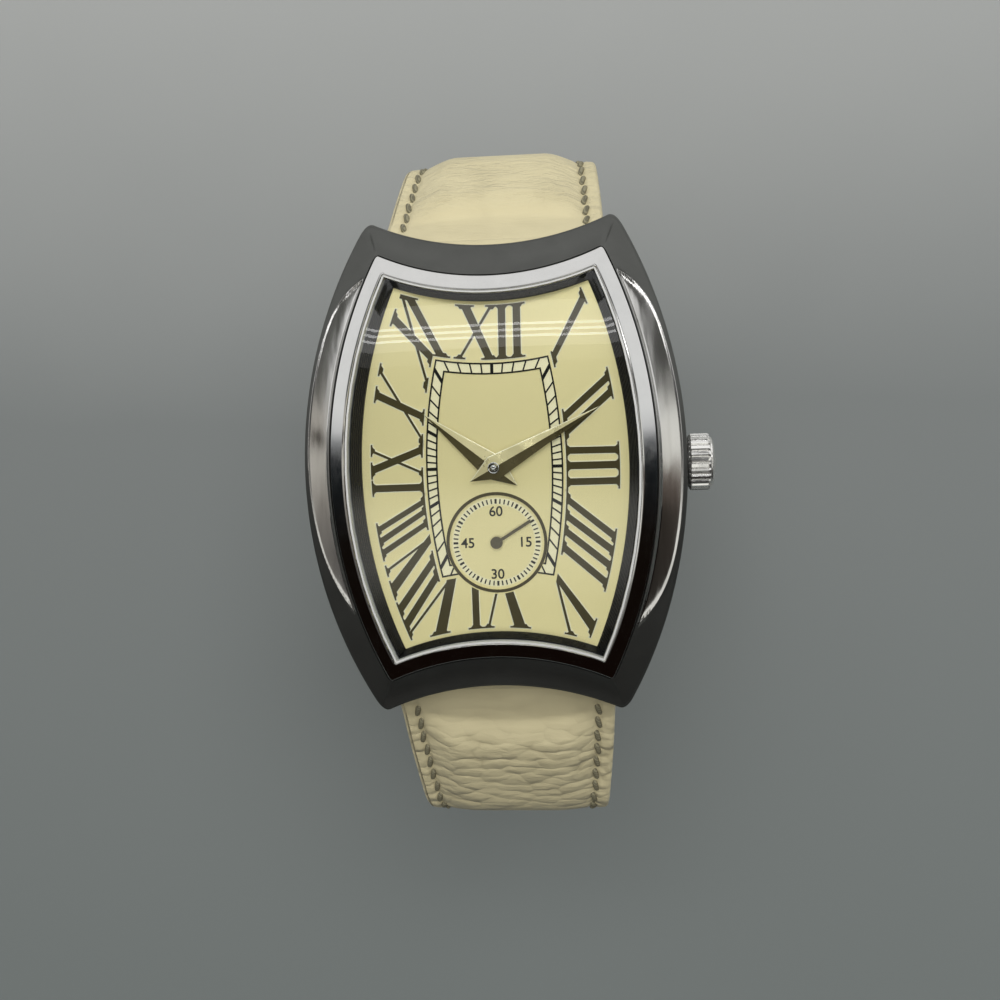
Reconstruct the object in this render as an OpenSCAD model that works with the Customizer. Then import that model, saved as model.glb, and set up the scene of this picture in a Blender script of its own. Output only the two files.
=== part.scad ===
// Barrel-shaped wristwatch with small seconds, quartz movement and a two-part leather strap.
// Origin: centre of the flat outer face of the case back.
// X points to 3 o'clock, Y to 12 o'clock, Z up through the dial.

/* [Case] */
// Width of the case across 3 and 9 o'clock
case_w = 36.5; // [34:0.5:39]
// Length of the case at the middle of its hollowed ends
case_l = 42.7; // [42:0.1:44]
// Radius of the bowed sides, seen from above
side_r = 49.9; // [46:0.1:56]
// Radius of the hollowed ends, seen from above
end_r = 27; // [25:0.5:31]
// Height of the top shoulder's outer edge over the seat, at the middle
edge_z = 7.9; // [7.6:0.1:8.2]
// Height of the shoulder where it meets the bezel
groove_z = 8.9; // [8.4:0.1:9.2]
// Radius of the arch along the wrist
arch_r = 75; // [65:1:100]
// Radius of the much flatter curve across the wrist
cross_r = 200; // [150:10:400]
// Radius of the underside's shallow arch
under_r = 240; // [180:10:400]
// Height of the underside over the seat, at the middle
under_z = 1.3; // [1:0.1:1.6]

/* [Bezel and crystal] */
// Width of the bezel across 3 and 9 o'clock
bezel_w = 30.84; // [29.5:0.02:31.4]
// Length of the bezel at the middle of its ends
bezel_l = 36.36; // [35:0.02:37.5]
// Radius of the bezel's bowed sides
bezel_side_r = 48.4; // [45:0.1:55]
// Radius of the bezel's hollowed ends
bezel_end_r = 25; // [23:0.5:29]
// Width of the bezel's outer slope
bezel_slope = 1.47; // [1.3:0.01:1.56]
// Height of the bezel's crest line over the seat, at the middle
crest_z = 9.54; // [9.3:0.02:9.8]
// Height of the ledge that the bezel sits on, at the middle
ledge_z = 7; // [6.8:0.05:7.2]
// Thickness of the crystal
crystal_t = 1.1; // [0.9:0.05:1.2]
// Width of the crystal's gasket
gasket_t = 0.25; // [0.2:0.05:0.35]

/* [Dial] */
// Height of the dial's face over the seat
dial_z = 6; // [5.9:0.05:6.1]
// Radius of the dial's gentle arch along the wrist
dial_arch_r = 150; // [140:10:220]
// Thickness of the dial plate
dial_t = 0.4; // [0.3:0.05:0.5]
// How far the visible dial stays inside the bezel's outline at the sides
dial_side_in = 2.85; // [2.6:0.05:3]
// How far the visible dial stays inside the bezel's outline at the ends
dial_end_in = 2.35; // [2.2:0.05:2.6]
// Width of the minute track's outline
track_w = 13.16; // [12.6:0.02:13.6]
// Length of the minute track's outline
track_l = 20; // [19.5:0.1:20.6]
// Width of the ladder band of the minute track
track_band = 0.96; // [0.8:0.02:1.1]
// Thickness of printed and applied dial marks
mark_t = 0.06; // [0.04:0.01:0.08]
// Distance of the small seconds axis below the centre
sub_y = 7.2; // [7.1:0.05:7.3]
// Outer radius of the small seconds ring
sub_r = 4.87; // [4.6:0.01:5]

/* [Hands] */
// Length of the hour hand
hour_len = 8.4; // [7:0.1:8.6]
// Length of the minute hand
minute_len = 11.5; // [10.6:0.1:12.8]
// Length of the small seconds hand
second_len = 3.9; // [3.4:0.1:4.1]
// Greatest width of the hour and minute hands
hand_w = 2.3; // [1.8:0.1:2.6]
// Thickness of each hand
hand_t = 0.18; // [0.12:0.02:0.2]
// Angle of the minute hand, clockwise from 12
minute_at = 61.4; // [0:0.1:359]
// Angle of the hour hand, clockwise from 12
hour_at = 308.5; // [0:0.5:359]
// Angle of the small seconds hand, clockwise from 12
second_at = 58.4; // [0:0.1:359]

/* [Crown] */
// Outer radius of the crown
crown_r = 2.7; // [2.5:0.05:2.8]
// Length of the crown outside the case
crown_l = 2.7; // [2.5:0.05:3]
// Height of the winding stem over the seat
stem_z = 4.2; // [4.1:0.05:4.2]
// Number of flutes round the crown
flutes = 28; // [20:1:36]
// Radius of the stem
stem_r = 0.45; // [0.4:0.01:0.46]

/* [Movement] */
// Radius of the movement
move_r = 11.65; // [11.6:0.05:11.7]
// Height of the case back's inner face
floor_z = 1.35; // [1.2:0.05:1.4]
// Radius of the battery
battery_r = 3.4; // [3.2:0.05:3.4]
// Thickness of the battery
battery_t = 2.6; // [2:0.1:2.6]
// Radius of the rotor's magnet
rotor_r = 0.9; // [0.7:0.05:1]
// Radius of the coil's winding
coil_r = 1; // [0.8:0.05:1.1]
// Radial play of every arbor in its hole
play = 0.03; // [0.02:0.01:0.05]

/* [Strap] */
// Width of the strap at the case
strap_w = 22; // [20:0.5:22]
// How much narrower the strap is at the buckle
strap_taper = 4; // [3:0.5:6]
// Length of the 12 o'clock half, from spring bar to buckle bar
short_len = 61.5; // [60:0.5:62]
// Length of the 6 o'clock half, from spring bar to tip
long_len = 102; // [96:1:104]
// Distance of the spring bars from the centre
bar_y = 20.9; // [20.7:0.05:21]
// Height of the spring bars over the seat
bar_z = 1.5; // [1.5:0.05:1.6]
// Radius of the spring bars
bar_r = 0.75; // [0.65:0.05:0.8]
// Slope of the 12 o'clock half at rest where it leaves the case, below level
dip_12 = 48; // [44:1:52]
// Slope of the 6 o'clock half at rest where it leaves the case, below level
dip_6 = 32; // [30:1:36]
// Height of the padded crown over the strap's middle line
pad_n = 1.8; // [1.6:0.1:2.2]
// Thickness of the lining leather
lining_t = 0.8; // [0.6:0.05:1]
// Thickness of the top leather
leather_t = 1.1; // [0.9:0.05:1.2]
// Distance of each stitch line from the strap's edge
stitch_in = 1.7; // [1.4:0.1:2]
// Distance between stitches along the seam
stitch_pitch = 2; // [2:0.1:3]
// Number of holes for the tang
hole_count = 7; // [5:1:8]
// Distance between the tang holes
hole_pitch = 6; // [5:0.5:6]

/* [Buckle] */
// Length of the buckle from its bar to its front rail
buckle_l = 10.5; // [9.5:0.5:11]
// Width of the buckle's metal, seen from above
buckle_rail = 2; // [1.8:0.1:2.2]
// Thickness of the buckle's metal
buckle_t = 1.8; // [1.6:0.1:2]
// Width of the tang
tang_w = 1.8; // [1.6:0.1:2]
// Length of each keeper along the strap
keeper_l = 4.5; // [3.5:0.5:5]
// Thickness of the keepers' leather
keeper_t = 1.1; // [0.9:0.1:1.3]

/* [Hidden] */
$fn = 96;
far = 60;
flat = 100000;
gap = 0.05;
fine = 0.02;
stations = 14;

// Outlines seen from above: half width, side radius, half length, end radius
case_form = [case_w / 2, side_r, case_l / 2, end_r];
bezel_form = [bezel_w / 2, bezel_side_r, bezel_l / 2, bezel_end_r];
dial_form = inset(bezel_form, dial_side_in, dial_end_in);
track_form = [track_w / 2, 47.9, track_l / 2, 28.4];
groove = 0.08;
seat_form = inset(bezel_form, 1.6, 1.6);
holder_form = inset(seat_form, 1.2, 1.2);
back_form = inset(case_form, 3.2, 4.5);
gasket_form = inset(bezel_form, 1.05, 1.05);
crest_form = inset(bezel_form, bezel_slope, bezel_slope);
crystal_form = inset(crest_form, gasket_t, gasket_t);

// Heights of the case's inner faces
dial_low = dial_z - dial_t;
crystal_z = crest_z - 0.1;
crystal_low = crystal_z - crystal_t;
cover_z = edge_z - 1.2;
shoulder_low = ledge_z - 0.5;
back_groove = 0.45;
step_z = crystal_low - 0.35;
seal_z = step_z - sag(bezel_w / 2, cross_r) - fine;

// Strap channel and spring bars
lug_w = strap_w + 0.2;
channel_y = bar_y - 1.65;
tip_r = 0.4;
tip_in = 1;

// Crown and tube
tube_r = 1.15;
tube_in = case_w / 2 - 5.3;
tube_out = case_w / 2 + 1.6;
crown_x = case_w / 2 + 0.08;
crown_bore = 1.5;
crown_top = 0.5;
cap_in = 0.6;
pull = 1;

// Case back screws
screw_y = 15.4;
screw_band = side_x(back_form, screw_y) - side_x(holder_form, screw_y);
screw_x = side_x(holder_form, screw_y) + screw_band / 2 + 0.08;
screw_head_r = min(0.85, screw_band / 2 - 0.3);
screw_r = screw_head_r - 0.3;
screw_head_t = 0.5;
screw_top = 3.5;

// Movement layers
plate_top = dial_low - gap;
plate_low = 4.6;
recess_z = 4.95;
bridge_low = 2.1;
bridge_t = 0.45;
pivot_low = 2.2;
rim_t = 0.6;
pillar_r = 0.7;
pillars = [[-4.2, 2.8], [4.6, -8.2], [-2.4, -9.9]];
bridge_w = 1.4;

// Gear train: teeth, modules and arbors
train_m = 0.11;
wheel_m = 0.12;
rotor_m = 0.09;
second_m = 0.1;
second_pin = 8;
third_n = 60;
third_pin = 8;
centre_n = 64;
cannon_n = 10;
minute_n = 30;
minute_pin = 8;
hour_n = 32;
rotor_pin = 6;
inter_n = 36;
inter_pin = 8;
second_n = 40;
arbor_r = 0.15;
centre_r = 0.25;
cannon_r = 0.5;
pipe_r = 0.8;
wheel_t = 0.18;

// Where the arbors stand
second_c = [0, -sub_y];
d_second = train_m * (second_pin + third_n) / 2;
d_third = wheel_m * (third_pin + centre_n) / 2;
third_y = -(sub_y * sub_y + d_third * d_third - d_second * d_second) / (2 * sub_y);
third_c = [sqrt(d_third * d_third - third_y * third_y), third_y];
inter_c = second_c - [second_m * (inter_pin + second_n) / 2, 0];
rotor_c = inter_c - [rotor_m * (rotor_pin + inter_n) / 2, 0];
d_minute = wheel_m * (cannon_n + minute_n) / 2;
minute_c = d_minute * [cos(60), sin(60)];
battery_c = [4.6, 6.2];
battery_low = 1.75;
coil_x = -8.4;
coil_half = 4.6;
coil_z = 3.35;
stator_low = 2.8;
stator_t = 0.3;
lever_c = [9.7, -2.4];
lever_low = 4.15;
lever_t = 0.2;
slot_x = 9.2;

// Heights of the wheels
second_z = 2.8;
third_z = 3.35;
centre_z = 3.9;
cannon_z = 5;
minute_wheel_z = 5.02;
hour_wheel_z = 5.27;

// Heights of the hands
recess_t = 0.12;
ring_w = 0.3;
dial_feet = [[-8.5, 6], [8.6, -6.2]];
foot_r = 0.35;
second_hand_z = dial_z + 0.1;
hour_hand_z = dial_z + 0.4;
minute_hand_z = hour_hand_z + hand_t + 0.2;

// Strap sections, measured from the strap's middle line towards the outside
eye_r = 1.4;
lining_n = -1.3;
mid_n = lining_n + lining_t;
flat_n = mid_n + leather_t;
lug_n = 1.1;
taper_l = 40;
margin = 2.7;
tip_l = 9;
no_tip = 1000;
step_l = 2.8;
skin_start = 0.8;
layer_start = 1.5;
end_gap = 1.4;
tang_hole_r = 1;
first_hole = 22;
strap_play = 0.15;

// Strap paths from the spring bar: first slope, then length and turn of each arc to the wrist
wrist_r = 24;
wrist_turn = 88;
wrist_l = wrist_r * wrist_turn * PI / 180;
start_12 = 14.2;
bend_12 = 5;
bend_end_12 = start_12 + bend_12;
short_arcs = [dip_12, [start_12, 2], [bend_12, 88 - dip_12], [wrist_l, wrist_turn], [far, 8]];
open_l = 0.57 * short_len;
long_arcs = [dip_6, [17.5, 4], [6.5, 86 - dip_6], [open_l, 44], [1.14 * open_l, 26], [far, 5]];
short_pad = [3.5, 8, 14, 36];
long_pad = [3.5, 8, 10, 28];

// Buckle and keepers
pin_r = 0.6;
pin_tip_r = 0.35;
pin_tip_l = 0.8;
end_eye_r = 1.25;
strap_end_w = strap_w - strap_taper;
frame_in = strap_end_w / 2 + 0.25;
fixed_at = 52;
free_at = 42;
keeper_room = 2.15;

function sag(u, r) = r - sqrt(r * r - u * u);
function side_x(b, y) = b[0] - b[1] + sqrt(b[1] * b[1] - y * y);
function inset(b, s, e) = [b[0] - s, b[1] - s, b[2] - e, b[3] + e];
function smooth(a, b, s) = let (u = min(1, max(0, (s - a) / (b - a)))) u * u * (3 - 2 * u);

// Meeting point of the side arc and the end arc in the first quarter
function corner(b) =
    let (a = [b[0] - b[1], 0], c = [0, b[2] + b[3]], d = norm(c - a), u = (c - a) / d)
    let (k = (b[1] * b[1] - b[3] * b[3] + d * d) / (2 * d), h = sqrt(b[1] * b[1] - k * k))
    a + k * u + h * [u[1], -u[0]];

// A point of the outline: t is 0 at 3 o'clock, 1 at 12, 2 at 9 and 3 at 6, with corners at halves
function outline_at(b, t) =
    let (seg = floor(t + 0.5), u = t - seg, p = corner(b), turn = (seg + 4) % 4)
    let (side_a = asin(p[1] / b[1]), end_a = asin(p[0] / b[3]))
    let (side_p = [b[0] - b[1] + b[1] * cos(2 * u * side_a), b[1] * sin(2 * u * side_a)])
    let (end_p = [-b[3] * sin(2 * u * end_a), b[2] + b[3] - b[3] * cos(2 * u * end_a)])
    turn == 0 ? side_p : turn == 1 ? end_p : turn == 2 ? -side_p : -end_p;

// A point on a domed ring: its form, height at the middle, arch radius and cross radius
function domed(t, p) =
    let (q = outline_at(p[0], t))
    [q[0], q[1], p[1] - sag(q[1], p[2]) - sag(q[0], p[3])];

// Skin of a loop of n sections with m points each
function loop_faces(n, m) = [for (k = [0:n - 1], j = [0:m - 1], half = [0, 1])
    let (a = k * m, b = ((k + 1) % n) * m, i = (j + 1) % m)
    half == 0 ? [a + j, a + i, b + i] : [a + j, b + i, b + j]];

// Skin of an open run of n sections with m points each; caps lists the end's convex pieces
function run_faces(n, m, caps) = concat(
    [for (k = [0:n - 2], j = [0:m - 1], half = [0, 1])
        let (a = k * m, b = (k + 1) * m, i = (j + 1) % m)
        half == 0 ? [a + j, a + i, b + i] : [a + j, b + i, b + j]],
    [for (c = caps) [for (j = [len(c) - 1:-1:0]) c[j]]],
    [for (c = caps) [for (j = c) (n - 1) * m + j]]);

// End of an arc that starts at p with heading h and turns towards the wrist
function arc_end(p, h, l, turn) =
    let (r = l * 180 / (PI * turn))
    p + r * [sin(h) - sin(h - turn), cos(h - turn) - cos(h)];

// Place and heading of the strap's middle line at length s: [y, z, heading]
function path(s, arcs) = path_from(s, arcs, 1, [bar_y, bar_z], -arcs[0]);
function path_from(s, arcs, i, p, h) =
    s <= arcs[i][0] || i == len(arcs) - 1
        ? let (turn = max(0.001, arcs[i][1] * s / arcs[i][0]), q = arc_end(p, h, max(s, 0.001), turn))
            [q[0], q[1], h - turn]
        : path_from(s - arcs[i][0], arcs, i + 1, arc_end(p, h, arcs[i][0], arcs[i][1]), h - arcs[i][1]);

function on_strap(s, arcs, x, n) =
    let (f = path(s, arcs))
    [x, f[0] - n * sin(f[2]), f[1] + n * cos(f[2])];

// Half width of the strap, height of its edge, and height of its padded crown
function half_w(s, tip) =
    let (w = (strap_w + (strap_end_w - strap_w) * smooth(0, taper_l, s)) / 2)
    let (u = min(0.98, max(0, (s - tip + tip_l) / tip_l)))
    w * sqrt(1 - u * u);
function edge_n(s) = flat_n + (lug_n - flat_n) * (1 - smooth(0.5, 6, s));
function crown_n(s, pad) = edge_n(s) + 0.05
    + (pad_n - flat_n) * smooth(pad[0], pad[1], s) * (1 - smooth(pad[2], pad[3], s));

// Sections across the strap as points x, n
function top_section(w, e, c) =
    let (k = min(1, w / 8), rise = c - e)
    let (outer = [[w, mid_n + fine], [w, e - 0.25], [w - 0.35 * k, e], [w - margin * k, e],
        [w - 4.6 * k, e + 0.75 * rise], [w - 6.6 * k, e + 0.97 * rise]])
    let (under = [[w - 2.9 * k, mid_n + fine], [w - 4.8 * k, mid_n + fine + 0.7 * rise],
        [w - 6.7 * k, mid_n + fine + 0.92 * rise]])
    concat(outer, [for (i = [5:-1:0]) [-outer[i][0], outer[i][1]]],
        [for (i = [0:2]) [-under[i][0], under[i][1]]], [for (i = [2:-1:0]) under[i]]);
top_caps = [[0, 1, 2, 3, 17], [3, 4, 16, 17], [4, 5, 15, 16], [5, 6, 14, 15], [6, 7, 13, 14],
    [7, 8, 12, 13], [8, 9, 10, 11, 12]];
function lining_section(w) = [[w, lining_n], [w, mid_n], [-w, mid_n], [-w, lining_n]];
function pad_section(w, rise) =
    let (side = [[w - 3.1, mid_n + 2 * fine], [w - 4.9, mid_n + 0.68 * rise], [w - 6.7, mid_n + 0.9 * rise]])
    concat(side, [for (i = [2:-1:0]) [-side[i][0], side[i][1]]]);

module skin_run(pts, caps) {
    polyhedron([for (row = pts, p = row) p], run_faces(len(pts), len(pts[0]), caps));
}

module barrel_ring(profile) {
    count = 4 * stations;
    pts = [for (k = [0:count - 1], p = profile) domed(-0.5 + k / stations, p)];
    polyhedron(pts, loop_faces(count, len(profile)));
}

module barrel_flat(b) {
    difference() {
        intersection() {
            translate([b[0] - b[1], 0]) circle(r = b[1]);
            translate([b[1] - b[0], 0]) circle(r = b[1]);
        }
        translate([0, b[2] + b[3]]) circle(r = b[3]);
        translate([0, -b[2] - b[3]]) circle(r = b[3]);
    }
}

module barrel_prism(b, low, high) {
    translate([0, 0, low]) linear_extrude(high - low) barrel_flat(b);
}

// Everything under an arch that runs along the wrist
module under_arch(top, r) {
    translate([0, 0, top - r]) rotate([0, 90, 0]) cylinder(r = r, h = far, center = true, $fn = 720);
}

module at(p, z = 0) {
    translate([p[0], p[1], z]) children();
}

module disc(r, low, high) {
    translate([0, 0, low]) cylinder(r = r, h = high - low);
}

module rod_x(r, a, b) {
    translate([a, 0, 0]) rotate([0, 90, 0]) cylinder(r = r, h = b - a);
}

module tube_x(outer, inner, a, b) {
    difference() {
        rod_x(outer, a, b);
        rod_x(inner, a - 1, b + 1);
    }
}

// Everything under the dial's arch, at height z in the middle
module dial_arch(z) {
    under_arch(z, dial_arch_r + z - dial_z);
}

// Marks drawn flat, laid on the arched dial from z with thickness t
module on_dial(z, t) {
    intersection() {
        difference() {
            linear_extrude(far) children();
            dial_arch(z);
        }
        dial_arch(z + t);
    }
}

// A straight flat arm between two points, with width w
module arm(p, q, w) {
    d = q - p;
    translate(p) rotate(atan2(d[1], d[0])) translate([0, -w / 2]) square([norm(d), w]);
}

// Case

module case_middle() {
    color("dimgray") difference() {
        union() {
            intersection() {
                barrel_prism(case_form, 0, edge_z);
                under_arch(ledge_z, arch_r);
            }
            barrel_ring([
                [inset(case_form, fine, fine), shoulder_low, arch_r, cross_r],
                [inset(case_form, fine, fine), edge_z, arch_r, cross_r],
                [inset(bezel_form, -groove, -groove), groove_z, arch_r, cross_r],
                [inset(bezel_form, -groove, -groove), shoulder_low, arch_r, cross_r]]);
        }
        under_arch(under_z, under_r);
        difference() {
            barrel_prism(seat_form, plate_low, 2 * edge_z);
            dial_arch(dial_low);
        }
        barrel_prism(holder_form, 0, 2 * edge_z);
        barrel_prism(inset(back_form, -gap, -gap), -1, floor_z);
        for (s = [-1, 1]) scale_y(s) strap_channel();
        translate([0, 0, stem_z]) rod_x(tube_r + fine, 0, far);
        case_screw_places() disc(screw_r, 0, screw_top + gap);
    }
}

module scale_y(s) {
    mirror([0, s < 0 ? 1 : 0, 0]) children();
}

module strap_channel() {
    intersection() {
        translate([-lug_w / 2, channel_y, -1]) cube([lug_w, far, edge_z]);
        under_arch(cover_z, arch_r);
    }
    translate([0, bar_y, bar_z]) rod_x(tip_r + fine, -lug_w / 2 - tip_in - gap, lug_w / 2 + tip_in + gap);
}

module case_screw_places() {
    for (x = [-1, 1], y = [-1, 1]) {
        translate([x * screw_x, y * screw_y, 0]) children();
    }
}

module bezel() {
    color("silver") barrel_ring([
        [bezel_form, ledge_z + fine, arch_r, flat],
        [bezel_form, groove_z + 0.02, arch_r, cross_r],
        [crest_form, crest_z, arch_r, cross_r],
        [inset(crest_form, 0.02, 0.02), step_z, arch_r, cross_r],
        [gasket_form, step_z, arch_r, cross_r],
        [gasket_form, ledge_z + fine, arch_r, flat]]);
}

module bezel_gasket() {
    color("black") barrel_ring([
        [inset(gasket_form, fine, fine), ledge_z + fine, arch_r, flat],
        [inset(gasket_form, fine, fine), seal_z, arch_r, flat],
        [inset(seat_form, -fine, -fine), seal_z, arch_r, flat],
        [inset(seat_form, -fine, -fine), ledge_z + fine, arch_r, flat]]);
}

// Domed glass: rings that shrink to a middle point, above and below
module crystal() {
    n = 4 * stations;
    shares = [1, 0.75, 0.5, 0.25];
    outline = [for (k = [0:n - 1]) outline_at(crystal_form, -0.5 + k / stations)];
    rings = [for (z = [crystal_z, crystal_low], f = shares, q = outline)
        [f * q[0], f * q[1], z - sag(f * q[1], arch_r) - sag(f * q[0], cross_r)]];
    low = 4 * n;
    up_mid = 8 * n;
    color("lightcyan", 0.35) polyhedron(
        concat(rings, [[0, 0, crystal_z], [0, 0, crystal_low]]),
        [for (k = [0:n - 1], part = [0:9])
            let (i = (k + 1) % n, r = floor(part / 2) % 3, a = r * n, b = a + n)
            part == 6 ? [3 * n + i, 3 * n + k, up_mid]
            : part == 7 ? [low + 3 * n + k, low + 3 * n + i, up_mid + 1]
            : part == 8 ? [k, i, low + i, low + k]
            : part == 9 ? [k, low + k, low + k]
            : part % 2 == 0 ? [a + i, a + k, b + k, b + i]
            : [low + a + k, low + a + i, low + b + i, low + b + k]]);
}

module crystal_gasket() {
    color("whitesmoke") barrel_ring([
        [inset(crest_form, 0.04, 0.04), crystal_low - 0.3, arch_r, cross_r],
        [inset(crest_form, 0.04, 0.04), crystal_z - 0.1, arch_r, cross_r],
        [inset(crystal_form, -0.02, -0.02), crystal_z - 0.1, arch_r, cross_r],
        [inset(crystal_form, -0.02, -0.02), crystal_low - 0.3, arch_r, cross_r]]);
}

module rehaut_ring() {
    color("dimgray") barrel_ring([
        [inset(seat_form, 0.2, 0.2), dial_z + fine, dial_arch_r, flat],
        [crystal_form, crystal_low - 0.32, arch_r, cross_r],
        [inset(crystal_form, 0.12, 0.12), crystal_low - fine, arch_r, cross_r],
        [dial_form, dial_z + fine, dial_arch_r, flat]]);
}

module case_back() {
    color("silver") difference() {
        barrel_prism(back_form, 0, floor_z - fine);
        difference() {
            barrel_prism(inset(holder_form, -0.42, -0.42), floor_z - back_groove, far);
            barrel_prism(inset(holder_form, -0.12, -0.12), 0, 2 * far);
        }
        case_screw_places() {
            disc(screw_r + gap, -1, far);
            disc(screw_head_r + gap, -1, screw_head_t);
        }
    }
}

module case_back_gasket() {
    color("black") difference() {
        barrel_prism(inset(holder_form, -0.4, -0.4), floor_z - back_groove + fine, floor_z - fine);
        barrel_prism(inset(holder_form, -0.14, -0.14), 0, far);
    }
}

module case_back_screws() {
    color("silver") case_screw_places() difference() {
        union() {
            disc(screw_head_r, 0.05, screw_head_t);
            disc(screw_r - fine, screw_head_t - 0.1, screw_top);
        }
        translate([-screw_head_r, -0.12, -1]) cube([2 * screw_head_r, 0.24, 1.25]);
    }
}

module crown_tube() {
    color("silver") translate([0, 0, stem_z]) tube_x(tube_r, stem_r + gap, tube_in, tube_out);
}

module spring_bar(half, r, end_r, end_l) {
    rod_x(r, -half, half);
    rod_x(end_r, -half - end_l, half + end_l);
}

module spring_bar_12() {
    color("silver") translate([0, bar_y, bar_z]) {
        spring_bar(strap_w / 2 - 0.3, bar_r, tip_r, tip_in + 0.3);
    }
}

module spring_bar_6() {
    mirror([0, 1, 0]) spring_bar_12();
}

// Dial and its marks

module dial_plate() {
    color("khaki") difference() {
        union() {
            on_dial(dial_low + fine, dial_t - fine) barrel_flat(inset(seat_form, gap, gap));
            for (p = dial_feet) at(p) disc(foot_r, plate_low + gap, dial_low);
        }
        disc(pipe_r + 0.15, 0, far);
        at(second_c) disc(2 * arbor_r, 0, far);
        difference() {
            at(second_c) disc(sub_r - ring_w, 0, far);
            dial_arch(dial_z - recess_t);
        }
    }
}

// Strokes of the hour numerals: where each meets the minute track and the dial's edge, and width
thick = 0.66;
wide = 0.94;
thin = 0.24;
strokes = [
    // XII
    [1.012, 1.141, thick], [1.272, 0.995, thin], [0.909, 0.94, thick], [0.782, 0.859, thick],
    // I
    [0.468, 0.476, thick],
    // II
    [0.208, 0.245, thick], [0.139, 0.204, thick],
    // III
    [0.066, 0.041, thick], [0, 0, thick], [-0.07, -0.044, thick],
    // IIII
    [-0.142, -0.201, thick], [-0.213, -0.24, thick], [-0.279, -0.283, thick], [-0.351, -0.332, thick],
    // V
    [-0.5, -0.608, thin], [-0.49, -0.464, thick],
    // VI
    [2.802, 2.871, thick], [3.022, 2.939, thin], [3.048, 3.115, wide],
    // VII
    [2.6, 2.666, wide], [2.586, 2.476, thin], [2.467, 2.45, thick], [2.398, 2.403, thick],
    // VIII
    [2.305, 2.342, thick], [2.304, 2.285, thin], [2.234, 2.234, thick],
    [2.18, 2.201, thick], [2.137, 2.168, thick],
    // IX
    [2.016, 1.944, thin], [1.911, 2.0, thick], [2.077, 2.05, thick],
    // X
    [1.772, 1.787, thick], [1.874, 1.717, thin],
    // XI
    [1.427, 1.452, thick], [1.513, 1.568, thick], [1.631, 1.514, thin]];

module numeral_stroke(s) {
    p = outline_at(inset(track_form, -0.3, -0.3), s[0]);
    q = outline_at(inset(dial_form, 0.62, 0.32), s[1]);
    arm(p, q, s[2]);
    for (e = [[p, s[0]], [q, s[1]]]) {
        translate(e[0]) rotate(floor(e[1] + 0.5) % 2 == 0 ? 90 : 0) {
            square([s[2] + 0.5, 0.16], center = true);
        }
    }
}

module hour_numerals() {
    color("darkolivegreen") on_dial(dial_z, 2 * mark_t) difference() {
        union() {
            for (s = strokes) numeral_stroke(s);
        }
        translate(second_c) circle(r = sub_r + 0.1);
    }
}

module track_line(b, w) {
    difference() {
        barrel_flat(b);
        barrel_flat(inset(b, w, w));
    }
}

module minute_track() {
    line_w = 0.15;
    color("darkolivegreen") on_dial(dial_z, mark_t) difference() {
        union() {
            track_line(track_form, line_w);
            track_line(inset(track_form, track_band, track_band), line_w);
            intersection() {
                track_line(inset(track_form, 0.05, 0.05), track_band);
                for (i = [0:59]) {
                    w = i % 5 == 0 ? 0.3 : 0.14;
                    rotate(6 * i) translate([-w / 2, 0]) square([w, far]);
                }
            }
        }
        translate(second_c) circle(r = sub_r + 0.02);
    }
}

module subdial_ring() {
    color("darkolivegreen") on_dial(dial_z, mark_t) translate(second_c) difference() {
        circle(r = sub_r);
        circle(r = sub_r - ring_w);
    }
}

module subdial_scale() {
    color("black") on_dial(dial_z - recess_t, mark_t) translate(second_c) {
        for (i = [0:59]) {
            rotate(6 * i) translate([0, 3.97]) square([i % 5 == 0 ? 0.2 : 0.12, 0.45], center = true);
        }
    }
}

// Hands

module aim(angle) {
    rotate(-angle) children();
}

module leaf(l, w, tail, hub, hole) {
    difference() {
        union() {
            polygon([[0, l], [-w / 2, 0.2], [0, -tail], [w / 2, 0.2]]);
            circle(r = hub);
        }
        circle(r = hole);
    }
}

module hour_hand() {
    color("darkgoldenrod") translate([0, 0, hour_hand_z]) aim(hour_at) {
        linear_extrude(hand_t) leaf(hour_len, hand_w + 0.2, 2.8, pipe_r + 0.35, pipe_r);
    }
}

module minute_hand() {
    color("darkgoldenrod") translate([0, 0, minute_hand_z]) aim(minute_at) {
        linear_extrude(hand_t) leaf(minute_len, hand_w, 2.6, cannon_r + 0.35, cannon_r);
    }
}

module hand_cap() {
    top = minute_hand_z + hand_t;
    color("silver") difference() {
        translate([0, 0, top - 0.2]) intersection() {
            sphere(r = cannon_r);
            disc(cannon_r, 0.2, cannon_r);
        }
        disc(centre_r, 0, top + fine);
    }
}

module seconds_hand() {
    color("darkolivegreen") at(second_c, second_hand_z) {
        aim(second_at) linear_extrude(0.1) difference() {
            union() {
                circle(r = 0.59);
                translate([-0.145, 0]) square([0.29, second_len]);
            }
            circle(r = arbor_r);
        }
        disc(0.28, 0.1, 0.17);
    }
}

// Gears: a tooth points along each multiple of the pitch from angle a
module gear(n, m, z, h, a, hole) {
    r = n * m / 2;
    root = r - 1.2 * m;
    step = 360 / n;
    pts = [for (i = [0:n - 1], q = [[-0.27, root], [-0.22, r], [-0.09, r + 0.9 * m],
        [0.09, r + 0.9 * m], [0.22, r], [0.27, root]])
        q[1] * [cos(a + (i + q[0]) * step), sin(a + (i + q[0]) * step)]];
    translate([0, 0, z]) linear_extrude(h) difference() {
        polygon(pts);
        if (hole > 0) circle(r = hole);
    }
}

function angle_to(p, q) = atan2(q[1] - p[1], q[0] - p[0]);

// A gear's first tooth when its partner shows a tooth towards it
function half_step(n) = 180 / n;

module arbor(r, low, high) {
    disc(r, low, high);
}

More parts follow.
